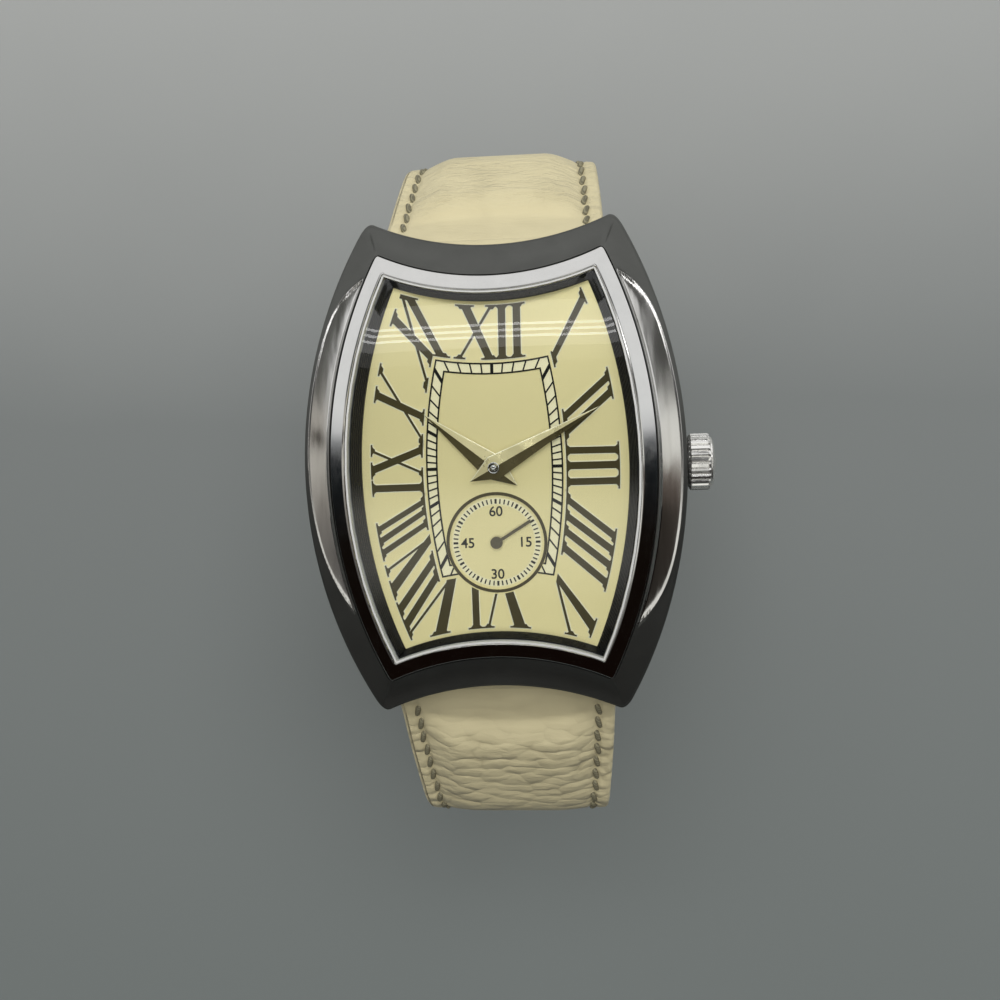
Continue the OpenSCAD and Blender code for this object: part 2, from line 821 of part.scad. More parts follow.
module rotor() {
    color("silver") at(rotor_c) {
        disc(rotor_r, second_z - gap, second_z + 0.4);
        gear(rotor_pin, rotor_m, third_z - 0.05, 0.3, angle_to(rotor_c, inter_c), 0);
        arbor(arbor_r, pivot_low, plate_low + 0.3);
    }
}

module intermediate_wheel() {
    color("gold") at(inter_c) {
        gear(inter_n, rotor_m, third_z + 0.01, wheel_t - 0.02, angle_to(inter_c, rotor_c) + half_step(inter_n), 0);
        gear(inter_pin, second_m, second_z - gap, 0.3, angle_to(inter_c, second_c), 0);
        arbor(arbor_r, pivot_low, plate_low + 0.3);
    }
}

module seconds_wheel() {
    color("gold") at(second_c) {
        gear(second_n, second_m, second_z, wheel_t, angle_to(second_c, inter_c) + half_step(second_n), 0);
        gear(second_pin, train_m, third_z - 0.1, 0.4, angle_to(second_c, third_c), 0);
        arbor(arbor_r, pivot_low, second_hand_z + 0.1);
    }
}

module third_wheel() {
    color("gold") at(third_c) {
        gear(third_n, train_m, third_z, wheel_t, angle_to(third_c, second_c) + half_step(third_n), 0);
        gear(third_pin, wheel_m, centre_z - 0.15, 0.5, angle_to(third_c, [0, 0]), 0);
        arbor(arbor_r, pivot_low, plate_low + 0.3);
    }
}

module centre_wheel() {
    color("gold") {
        gear(centre_n, wheel_m, centre_z, wheel_t, angle_to([0, 0], third_c) + half_step(centre_n), 0);
        disc(0.6, centre_z - 0.15, centre_z + 0.1);
        arbor(centre_r, pivot_low, minute_hand_z + hand_t);
    }
}

module cannon_pinion() {
    color("silver") difference() {
        union() {
            gear(cannon_n, wheel_m, cannon_z, 0.2, 60, 0);
            disc(cannon_r, cannon_z, minute_hand_z + hand_t);
        }
        disc(centre_r, 0, far);
    }
}

module minute_wheel() {
    color("gold") at(minute_c) {
        gear(minute_n, wheel_m, minute_wheel_z, 0.15, 240 + half_step(minute_n), centre_r + play);
        gear(minute_pin, wheel_m, minute_wheel_z + 0.15, 0.28, 240, centre_r + play);
    }
}

module hour_wheel() {
    color("gold") difference() {
        union() {
            gear(hour_n, wheel_m, hour_wheel_z, 0.15, 60 + half_step(hour_n), 0);
            disc(pipe_r, hour_wheel_z, hour_hand_z + hand_t);
        }
        disc(cannon_r + play, 0, far);
    }
}

// Movement

module movement_holder() {
    color("whitesmoke") difference() {
        intersection() {
            barrel_prism(inset(holder_form, gap, gap), floor_z + 0.1, dial_z);
            dial_arch(dial_low);
        }
        disc(move_r + gap, 0, far);
        translate([0, 0, stem_z]) rod_x(tube_r + 0.1, 0, far);
    }
}

module main_plate() {
    color("goldenrod") difference() {
        union() {
            intersection() {
                disc(move_r, plate_low, dial_z);
                dial_arch(plate_top);
            }
            difference() {
                disc(move_r, bridge_low, plate_low);
                disc(move_r - rim_t, 0, far);
            }
            for (p = pillars) at(p) disc(pillar_r, bridge_low + bridge_t + fine, plate_low);
            at(lever_c) disc(0.3, lever_low - 0.1, plate_low);
        }
        disc(wheel_m * hour_n / 2 + 0.33, recess_z, far);
        at(minute_c) disc(wheel_m * minute_n / 2 + 0.33, recess_z, far);
        disc(centre_r + play, 0, far);
        for (p = [second_c, third_c, inter_c, rotor_c]) at(p) disc(arbor_r + play, 0, far);
        at(battery_c) disc(battery_r + 0.1, 0, far);
        translate([0, 0, stem_z]) rod_x(0.95, 6.8, far);
        for (p = dial_feet) at(p) disc(foot_r + fine, 0, far);
        for (p = pillars) at(p) disc(0.36, 0, plate_low + 0.2);
    }
    color("goldenrod") at(minute_c) disc(centre_r, plate_low + 0.1, minute_wheel_z + 0.43);
}

module train_bridge() {
    links = [[[0, 0], pillars[0]], [[0, 0], third_c], [third_c, pillars[1]], [third_c, second_c],
        [second_c, inter_c], [inter_c, rotor_c], [inter_c, pillars[2]]];
    color("gainsboro") difference() {
        translate([0, 0, bridge_low]) linear_extrude(bridge_t) {
            for (l = links) {
                arm(l[0], l[1], bridge_w);
                for (p = l) translate(p) circle(r = bridge_w / 2 + 0.15);
            }
        }
        disc(centre_r + play, 0, far);
        for (p = [second_c, third_c, inter_c, rotor_c]) at(p) disc(arbor_r + play, 0, far);
        for (p = pillars) at(p) disc(0.4, 0, far);
    }
}

module bridge_screws() {
    color("silver") for (p = pillars) at(p) difference() {
        union() {
            disc(0.6, bridge_low - 0.3, bridge_low - fine);
            disc(0.34, bridge_low - 0.1, plate_low - 0.2);
        }
        translate([-1, -0.08, 0]) cube([2, 0.16, bridge_low - 0.15]);
    }
}

module battery() {
    color("silver") at(battery_c) {
        disc(battery_r, battery_low, battery_low + battery_t - 0.15);
        disc(battery_r - 0.8, battery_low, battery_low + battery_t);
    }
}

module battery_clamp() {
    color("silver") translate([0, 0, battery_low - 0.2]) linear_extrude(0.17) {
        translate(battery_c) circle(r = 1.3);
        arm(battery_c, [-0.6, 8.6], 1.6);
        arm(battery_c, [9.6, 3.6], 1.6);
        translate([-0.6, 8.6]) circle(r = 0.8);
    }
}

module coil() {
    color("peru") translate([coil_x, 0, coil_z]) rotate([90, 0, 0]) difference() {
        union() {
            cylinder(r = coil_r, h = 2 * coil_half, center = true);
            for (s = [-1, 1]) {
                translate([0, 0, s * (coil_half - 0.15)]) cylinder(r = coil_r + 0.15, h = 0.3, center = true);
            }
        }
        cylinder(r = 0.42, h = far, center = true);
    }
}

module stator() {
    color("gray") {
        translate([coil_x, 0, coil_z]) rotate([90, 0, 0]) {
            cylinder(r = 0.4, h = 2 * coil_half + 1, center = true);
        }
        for (s = [-1, 1]) {
            translate([coil_x - 0.6, s * (coil_half + 0.65) - 0.55, stator_low]) cube([1.7, 1.1, 0.95]);
        }
        translate([0, 0, stator_low]) linear_extrude(stator_t) difference() {
            union() {
                arm([coil_x + 0.2, -coil_half - 0.85], rotor_c, 1.5);
                arm([coil_x + 0.2, coil_half + 0.75], [-6, coil_half + 0.6], 1.1);
                arm([-6, coil_half + 0.6], [-6, -6], 1.1);
                arm([-6, -5.6], rotor_c, 1.3);
                translate(rotor_c) circle(r = 1.3);
            }
            translate(rotor_c) circle(r = rotor_r + 0.12);
        }
    }
}

module circuit_board() {
    color("darkgreen") {
        translate([0, 0, bridge_low + 0.2]) linear_extrude(0.25) {
            polygon([[5.9, -8.2], [8.1, -7.3], [9.9, -4.6], [10.8, -1.2], [7.2, -1.2], [6.2, -3.4]]);
        }
        translate([8.6, -3.6, bridge_low + 0.45]) cube([1.3, 1.5, 0.5]);
    }
}

module quartz_can() {
    color("lightgray") translate([7.6, -1.9, bridge_low + 1.22]) rotate([90, 0, 0]) cylinder(r = 0.73, h = 4.8);
}

// Crown and hand setting

module crown() {
    fluted = crown_l - crown_top;
    color("silver") translate([crown_x, 0, stem_z]) rotate([0, 90, 0]) difference() {
        union() {
            translate([0, 0, 0.15]) linear_extrude(fluted - 0.15) difference() {
                circle(r = crown_r);
                for (i = [0:flutes - 1]) {
                    rotate(360 * i / flutes) translate([crown_r + 0.06, 0]) circle(r = 0.2, $fn = 24);
                }
            }
            disc(crown_r - 0.25, 0, fluted + 0.1);
            rotate_extrude() polygon([[0, fluted], [crown_r - 0.12, fluted],
                [crown_r - 0.35, fluted + 0.25], [crown_r - cap_in, fluted + 0.3],
                [crown_r - 1.1, crown_l - 0.06], [0, crown_l]]);
        }
        disc(crown_bore, -1, tube_out - crown_x + 0.45);
        disc(stem_r, 0, tube_out - crown_x + 0.75);
    }
}

module crown_gasket() {
    color("black") translate([0, 0, stem_z]) {
        tube_x(crown_bore - play, tube_r + play, crown_x + 0.12, crown_x + 0.5);
    }
}

module stem() {
    color("silver") translate([0, 0, stem_z]) {
        rod_x(stem_r, 7.2, slot_x - 0.3);
        rod_x(stem_r - 0.17, slot_x - 0.3, slot_x + 0.3);
        rod_x(stem_r, slot_x + 0.3, tube_out + 0.7);
        translate([7.4, 0, 0]) rotate([0, 90, 0]) gear(10, 0.14, 0, 0.9, 0, 0);
    }
}

module setting_lever() {
    color("silver") translate([0, 0, lever_low]) linear_extrude(lever_t) difference() {
        union() {
            translate(lever_c) circle(r = 0.7);
            arm(lever_c, [slot_x, -0.36], 0.38);
            arm(lever_c, lever_c + [0.2, -1.6], 0.7);
        }
        translate(lever_c) circle(r = 0.3 + play);
    }
}

// Strap

// Where the sections stand: evenly spaced, then closer together round the tip
function strap_steps(a, b, tip) =
    let (c = min(b, tip - tip_l), n = ceil((c - a) / step_l), closing = b > c)
    concat([for (i = [0:n]) a + (c - a) * i / n],
        [if (closing) for (i = [1:8]) c + tip_l * 0.97 * sin(90 * i / 8)]);

module at_path(s, arcs) {
    f = path(s, arcs);
    translate([0, f[0], f[1]]) rotate([f[2], 0, 0]) children();
}

module strap_top(arcs, pad, b, tip) {
    skin_run([for (s = concat([skin_start], strap_steps(layer_start, b, tip), [if (tip == no_tip) b + 0.7]))
        [for (q = top_section(half_w(s, tip), edge_n(s), crown_n(s, pad))) on_strap(s, arcs, q[0], q[1])]],
        top_caps);
}

module strap_lining(arcs, b, tip) {
    skin_run([for (s = strap_steps(layer_start, b, tip))
        [for (q = lining_section(half_w(s, tip))) on_strap(s, arcs, q[0], q[1])]], [[0, 1, 2, 3]]);
}

module strap_padding(arcs, pad, b, tip) {
    skin_run([for (s = strap_steps(layer_start, b, tip)) if (s > pad[1] - 2.5 && s < pad[3] - 4)
        let (rise = crown_n(s, pad) - edge_n(s))
        [for (q = pad_section(half_w(s, no_tip), rise)) on_strap(s, arcs, q[0], q[1])]],
        [[0, 1, 2, 3, 4, 5]]);
}

module strap_stitching(arcs, a, b) {
    count = floor((b - a) / stitch_pitch);
    for (side = [-1, 1], i = [0:count]) {
        s = a + i * stitch_pitch;
        at_path(s, arcs) {
            translate([side * (half_w(s, no_tip) - stitch_in) - 0.2, -0.6, edge_n(s) + 0.05]) {
                cube([0.4, 1.2, 0.22]);
            }
        }
    }
}

module eye(r, w) {
    rod_x(r, -w / 2, w / 2);
}

module strap_12_top() {
    color("palegoldenrod") difference() {
        union() {
            strap_top(short_arcs, short_pad, short_len - end_gap, no_tip);
            at_path(0, short_arcs) eye(eye_r, strap_w);
            at_path(short_len, short_arcs) eye(end_eye_r, strap_end_w);
        }
        at_path(0, short_arcs) rod_x(bar_r + gap, -far, far);
        at_path(short_len, short_arcs) rod_x(pin_r + gap, -far, far);
        tang_slot();
    }
}

module tang_slot() {
    at_path(short_len, short_arcs) {
        translate([-tang_w / 2 - 0.3, -3.2, -3]) cube([tang_w + 0.6, 6, 6]);
    }
}

module strap_12_lining() {
    color("tan") difference() {
        strap_lining(short_arcs, short_len - end_gap, no_tip);
        tang_slot();
    }
}

module strap_12_padding() {
    color("white") strap_padding(short_arcs, short_pad, short_len - end_gap, no_tip);
}

module strap_12_stitching() {
    color("darkkhaki") strap_stitching(short_arcs, 3.5, fixed_at - keeper_l);
}

module tang_holes() {
    for (i = [0:hole_count - 1]) {
        at_path(long_len - first_hole - i * hole_pitch, long_arcs) disc(tang_hole_r, -4, 4);
    }
}

module strap_6_top() {
    color("palegoldenrod") mirror([0, 1, 0]) difference() {
        union() {
            strap_top(long_arcs, long_pad, long_len, long_len);
            at_path(0, long_arcs) eye(eye_r, strap_w);
        }
        at_path(0, long_arcs) rod_x(bar_r + gap, -far, far);
        tang_holes();
    }
}

module strap_6_lining() {
    color("tan") mirror([0, 1, 0]) difference() {
        strap_lining(long_arcs, long_len, long_len);
        tang_holes();
    }
}

module strap_6_padding() {
    color("white") mirror([0, 1, 0]) strap_padding(long_arcs, long_pad, long_len, long_len);
}

module strap_6_stitching() {
    color("darkkhaki") mirror([0, 1, 0]) strap_stitching(long_arcs, 3.5, long_len - tip_l - 2);
}

// Keepers run round the arc under the wrist
module keeper(s, inner_half) {
    top = path(bend_end_12, short_arcs);
    low = wrist_r + lining_n - strap_play;
    high = wrist_r + flat_n + 0.1 + strap_play + keeper_room;
    angle = (s - bend_end_12) / wrist_r * 180 / PI;
    wide = keeper_l / wrist_r * 180 / PI;
    translate([0, top[0] - wrist_r, top[1]]) rotate([90 - angle, 0, 0]) rotate([0, 90, 0]) {
        rotate([0, 0, -wide / 2]) rotate_extrude(angle = wide) difference() {
            translate([low - keeper_t, -inner_half - keeper_t]) {
                square([high - low + 2 * keeper_t, 2 * (inner_half + keeper_t)]);
            }
            translate([low, -inner_half]) square([high - low, 2 * inner_half]);
        }
    }
}

module fixed_keeper() {
    color("palegoldenrod") keeper(fixed_at, strap_end_w / 2 + strap_play);
}

module free_keeper() {
    color("palegoldenrod") keeper(free_at, strap_end_w / 2 + strap_play);
}

// Buckle

module buckle_bar() {
    color("silver") at_path(short_len, short_arcs) {
        spring_bar(strap_end_w / 2 + 0.2, pin_r, pin_tip_r, pin_tip_l);
    }
}

module buckle_frame() {
    outer = frame_in + buckle_rail;
    color("silver") at_path(short_len, short_arcs) difference() {
        union() {
            translate([0, 0, -buckle_t / 2]) linear_extrude(buckle_t) difference() {
                union() {
                    translate([-outer, 0]) square([2 * outer, buckle_l - 1]);
                    translate([-outer + 2, 0]) square([2 * outer - 4, buckle_l + 1]);
                    for (s = [-1, 1]) translate([s * (outer - 2), buckle_l - 1]) circle(r = 2);
                }
                translate([-frame_in, -1]) square([2 * frame_in, buckle_l]);
            }
            for (s = [-1, 1]) {
                rod_x(buckle_t / 2, s > 0 ? frame_in : -outer, s > 0 ? outer : -frame_in);
            }
        }
        rod_x(pin_tip_r + fine, -frame_in - pin_tip_l, frame_in + pin_tip_l);
    }
}

module tang() {
    over = buckle_t / 2 + gap;
    color("silver") at_path(short_len, short_arcs) difference() {
        union() {
            rod_x(end_eye_r, -tang_w / 2, tang_w / 2);
            translate([-tang_w / 2, 0, over]) cube([tang_w, buckle_l + 0.8, 0.8]);
        }
        rod_x(pin_r + gap, -far, far);
    }
}

case_middle();
bezel();
bezel_gasket();
crystal();
crystal_gasket();
rehaut_ring();
case_back();
case_back_gasket();
case_back_screws();
crown_tube();
dial_plate();
hour_numerals();
minute_track();
subdial_ring();
subdial_scale();
movement_holder();
main_plate();
train_bridge();
bridge_screws();
battery();
battery_clamp();
coil();
stator();
circuit_board();
quartz_can();
spring_bar_12();
spring_bar_6();
rotor();
intermediate_wheel();
seconds_wheel();
seconds_hand();
third_wheel();
centre_wheel();
cannon_pinion();
minute_hand();
hand_cap();
minute_wheel();
hour_wheel();
hour_hand();
crown();
crown_gasket();
stem();
setting_lever();
strap_12_top();
strap_12_padding();
strap_12_lining();
strap_12_stitching();
strap_6_top();
strap_6_padding();
strap_6_lining();
strap_6_stitching();
fixed_keeper();
free_keeper();
buckle_bar();
buckle_frame();
tang();
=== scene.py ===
"""Looks of a barrel-shaped wristwatch with small seconds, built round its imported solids.

All sizes in the classes are millimetres. X points to 3 o'clock, Y to 12 o'clock and Z up
through the dial, with the origin at the centre of the case back's outer face.
"""

from __future__ import annotations

import logging
import math
from dataclasses import dataclass, field
from enum import Enum

import bmesh
import bpy
import numpy as np
from bpy.types import Material, Node, NodeSocket, Object
from mathutils import Matrix


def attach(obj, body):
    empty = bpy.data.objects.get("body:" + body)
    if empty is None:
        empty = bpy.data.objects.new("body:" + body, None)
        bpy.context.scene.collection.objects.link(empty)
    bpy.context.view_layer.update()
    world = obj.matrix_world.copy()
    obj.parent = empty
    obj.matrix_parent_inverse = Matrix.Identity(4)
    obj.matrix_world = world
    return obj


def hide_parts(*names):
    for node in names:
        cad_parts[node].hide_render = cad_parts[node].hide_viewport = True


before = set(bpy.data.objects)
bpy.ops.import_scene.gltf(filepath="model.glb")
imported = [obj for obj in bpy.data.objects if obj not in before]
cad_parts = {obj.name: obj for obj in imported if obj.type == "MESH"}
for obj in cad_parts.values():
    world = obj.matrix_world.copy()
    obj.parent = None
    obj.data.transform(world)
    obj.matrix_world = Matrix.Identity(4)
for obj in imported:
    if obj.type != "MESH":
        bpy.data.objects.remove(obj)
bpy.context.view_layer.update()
MM = 0.001
Array = np.ndarray
Triple = tuple[float, float, float]
log = logging.getLogger("wristwatch")


# Plane and solid geometry


def sag(u: Array, radius: float) -> Array:
    """Drop of a circle of the given radius at distance u from its crest."""
    return radius - np.sqrt(np.maximum(radius * radius - u * u, 0.0))


def smooth(low: float, high: float, value: Array) -> Array:
    """Smooth step from 0 at low to 1 at high, 3u^2 - 2u^3 between them."""
    u = np.clip((np.asarray(value, float) - low) / (high - low), 0.0, 1.0)
    return u * u * (3.0 - 2.0 * u)


def hill(value: Array, middle: float | Array, spread: float) -> Array:
    """Bell of height 1 about a middle, e^(-((value - middle) / spread)^2)."""
    return np.exp(-((value - middle) / spread) ** 2)


def signed_power(value: Array, power: float) -> Array:
    """Size of a value raised to a power, with the value's sign kept."""
    return np.sign(value) * np.abs(value) ** power


def full_turn(count: int) -> Array:
    """Angles of a whole turn in count even steps, without its end."""
    return np.linspace(0, 2 * np.pi, count, endpoint=False)


def raised(q: Array, z: float | Array) -> Array:
    """Points q of a plane with the heights z as their third column."""
    return np.concatenate([q, np.broadcast_to(z, q.shape[:-1])[..., None]], -1)


def tube_wall(half: float, bore: float, radius: float, cut: float,
              bevel: float) -> list[tuple[float, float]]:
    """Places along a tube's wall and the radii there, once round it, with its rims eased."""
    end = [(cut - half, bore), (-half, bore + bevel), (-half, radius - bevel), (cut - half, radius)]
    return end + [(-x, r) for x, r in reversed(end)]


@dataclass(frozen=True)
class Outline:
    """Barrel outline of circle arcs: bowed sides and hollowed ends, each with its radius."""

    half_w: float
    side_r: float
    half_l: float
    end_r: float

    def inset(self, side: float, end: float | None = None) -> Outline:
        """The same outline moved inwards, its ends as far as its sides if end is left out."""
        end = side if end is None else end
        return Outline(self.half_w - side, self.side_r - side, self.half_l - end, self.end_r + end)

    def corner(self) -> Array:
        """Where a side arc meets an end arc, in the first quarter.

        The point lies at k along the line between the arcs' centres and h beside it, with
        k = (s^2 - e^2 + d^2) / 2d and h^2 = s^2 - k^2 for the radii s and e.

        Returns:
            x and y.
        """
        a = np.array([self.half_w - self.side_r, 0.0])
        c = np.array([0.0, self.half_l + self.end_r])
        d = float(np.linalg.norm(c - a))
        u = (c - a) / d
        k = (self.side_r**2 - self.end_r**2 + d * d) / (2 * d)
        h = math.sqrt(self.side_r**2 - k * k)
        return a + k * u + h * np.array([u[1], -u[0]])

    def at(self, t: Array) -> Array:
        """Points of the outline.

        A side is (w - r + r cos a, r sin a), an end (-e sin b, l + e - e cos b), each with
        its angle running evenly between its corners, and the other two are opposite.

        Args:
            t: 0 at 3 o'clock, 1 at 12, 2 at 9, 3 at 6, with the corners at the halves.

        Returns:
            Array of x, y, one row for each t.
        """
        t = np.asarray(t, float)
        turn = np.floor(t + 0.5)
        u = t - turn
        x, y = self.corner()
        side = 2 * u * math.asin(y / self.side_r)
        end = 2 * u * math.asin(x / self.end_r)
        side_p = np.stack([self.half_w - self.side_r + self.side_r * np.cos(side),
                           self.side_r * np.sin(side)], -1)
        end_p = np.stack([-self.end_r * np.sin(end),
                          self.half_l + self.end_r - self.end_r * np.cos(end)], -1)
        odd = (turn % 2 == 1)[..., None]
        sign = np.where(turn % 4 >= 2, -1.0, 1.0)[..., None]
        return sign * np.where(odd, end_p, side_p)

    def rounded(self, t: Array, reach: float) -> Array:
        """Points of the outline with its corners eased by a quadratic curve.

        Args:
            t: as for at().
            reach: how far in t each corner's curve starts before the corner.

        Returns:
            Array of x, y.
        """
        t = np.asarray(t, float)
        points = self.at(t)
        centre = np.floor(t) + 0.5
        w = ((t - centre + reach) / (2 * reach))[..., None]
        inside = (np.abs(t - centre) < reach)[..., None]
        before = centre - 1e-9
        p0, p1, p2 = self.at(centre - reach), self.at(before), self.at(centre + reach)
        curve = (1 - w) ** 2 * p0 + 2 * w * (1 - w) * p1 + w * w * p2
        return np.where(inside, curve, points)


@dataclass
class Patch:
    """A grid of points in millimetres that becomes a strip of faces, closed where wrapped."""

    points: Array
    wrap_rows: bool = False
    wrap_cols: bool = False
    facts: dict[str, Array] = field(default_factory=dict)
    uv: Array | None = None
    slot: int = 0

    @classmethod
    def ring(cls, rows: list[Array], **more: object) -> Patch:
        """A grid of rows that closes on itself both ways."""
        return cls(np.stack(rows), wrap_rows=True, wrap_cols=True, **more)

    def faces(self) -> Array:
        """Quads between neighbouring points.

        Returns:
            Rows of four point numbers.
        """
        m, n = self.points.shape[:2]
        i = np.arange(m if self.wrap_rows else m - 1)[:, None]
        j = np.arange(n if self.wrap_cols else n - 1)[None, :]
        i2, j2 = (i + 1) % m, (j + 1) % n
        quads = np.stack([i * n + j, i * n + j2, i2 * n + j2, i2 * n + j], -1)
        return quads.reshape(-1, 4)


def build_mesh(name: str, patches: list[Patch], sharp: float = 32.0, weld: float = 1e-7,
               turn_out: bool = True) -> Object:
    """Makes one object of several grids, welds their shared edges and turns faces outwards.

    Args:
        name: the piece's name.
        patches: its grids.
        sharp: angle in degrees above which an edge is drawn sharp.
        weld: distance in metres under which points become one.
        turn_out: whether to turn each closed shell's faces outwards.

    Returns:
        The new object, at the origin.
    """
    offsets = np.cumsum([0] + [p.points.shape[0] * p.points.shape[1] for p in patches])
    points = np.concatenate([p.points.reshape(-1, 3) for p in patches]) * MM
    faces = np.concatenate([p.faces() + o for p, o in zip(patches, offsets)])
    slots = np.concatenate([np.full(len(p.faces()), p.slot) for p in patches])
    mesh = bpy.data.meshes.new(name)
    mesh.from_pydata(points, [], faces.tolist())
    mesh.polygons.foreach_set("material_index", slots.astype(np.int32))
    for key in sorted({k for p in patches for k in p.facts}):
        values = np.concatenate([
            np.asarray(p.facts.get(key, np.zeros(p.points.shape[:2])), np.float32).ravel()
            for p in patches])
        mesh.attributes.new(key, "FLOAT", "POINT").data.foreach_set("value", values)
    if any(p.uv is not None for p in patches):
        uv = np.concatenate([
            (p.uv if p.uv is not None else p.points[..., :2]).reshape(-1, 2) for p in patches])
        loops = np.empty(len(mesh.loops), np.int32)
        mesh.loops.foreach_get("vertex_index", loops)
        layer = mesh.uv_layers.new(name="UVMap")
        layer.data.foreach_set("uv", uv[loops].astype(np.float32).ravel())
    work = bmesh.new()
    work.from_mesh(mesh)
    bmesh.ops.remove_doubles(work, verts=work.verts, dist=weld)
    bmesh.ops.dissolve_degenerate(work, edges=work.edges, dist=weld)
    if turn_out:
        bmesh.ops.recalc_face_normals(work, faces=work.faces)
    work.to_mesh(mesh)
    work.free()
    mesh.shade_smooth()
    mesh.set_sharp_from_angle(angle=math.radians(sharp))
    return add_object(name, mesh)


def add_object(name: str, data: bpy.types.ID) -> Object:
    """Makes an object of a mesh, curve, light or camera and puts it in the scene.

    Args:
        name: its name.
        data: what it shows.

    Returns:
        The object.
    """
    obj = bpy.data.objects.new(name, data)
    bpy.context.scene.collection.objects.link(obj)
    return obj


def stand(obj: Object, axes: Array, at: Array) -> None:
    """Puts a lamp or camera in its place.

    Args:
        obj: the lamp or camera.
        axes: its own axes as columns.
        at: its place in millimetres.
    """
    matrix = np.eye(4)
    matrix[:3, :3] = axes
    matrix[:3, 3] = at * MM
    obj.matrix_world = Matrix(matrix.tolist())


def dress(obj: Object, *materials: Material) -> Object:
    """Gives an object its materials in place of any it had.

    Args:
        obj: the piece or solid.
        materials: its materials, in the order of its faces' numbers.

    Returns:
        The same object.
    """
    kept = np.empty(len(obj.data.polygons), np.int32)
    obj.data.polygons.foreach_get("material_index", kept)
    obj.data.materials.clear()
    for material in materials:
        obj.data.materials.append(material)
    obj.data.polygons.foreach_set("material_index", np.minimum(kept, len(materials) - 1))
    return obj


def place(obj: Object, body: str, slot: str, *nodes: str) -> Object:
    """Lets a piece ride on a body and stand for solids.

    Args:
        obj: the piece.
        body: the body that it moves with.
        slot: name of its material slot; not used.
        nodes: solids that it stands for.

    Returns:
        The piece.
    """
    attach(obj, body)
    if nodes:
        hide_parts(*nodes)
    log.info("%-24s rides on %-12s stands for %s", obj.name, body, ", ".join(nodes) or "-")
    return obj


# Surface finishes


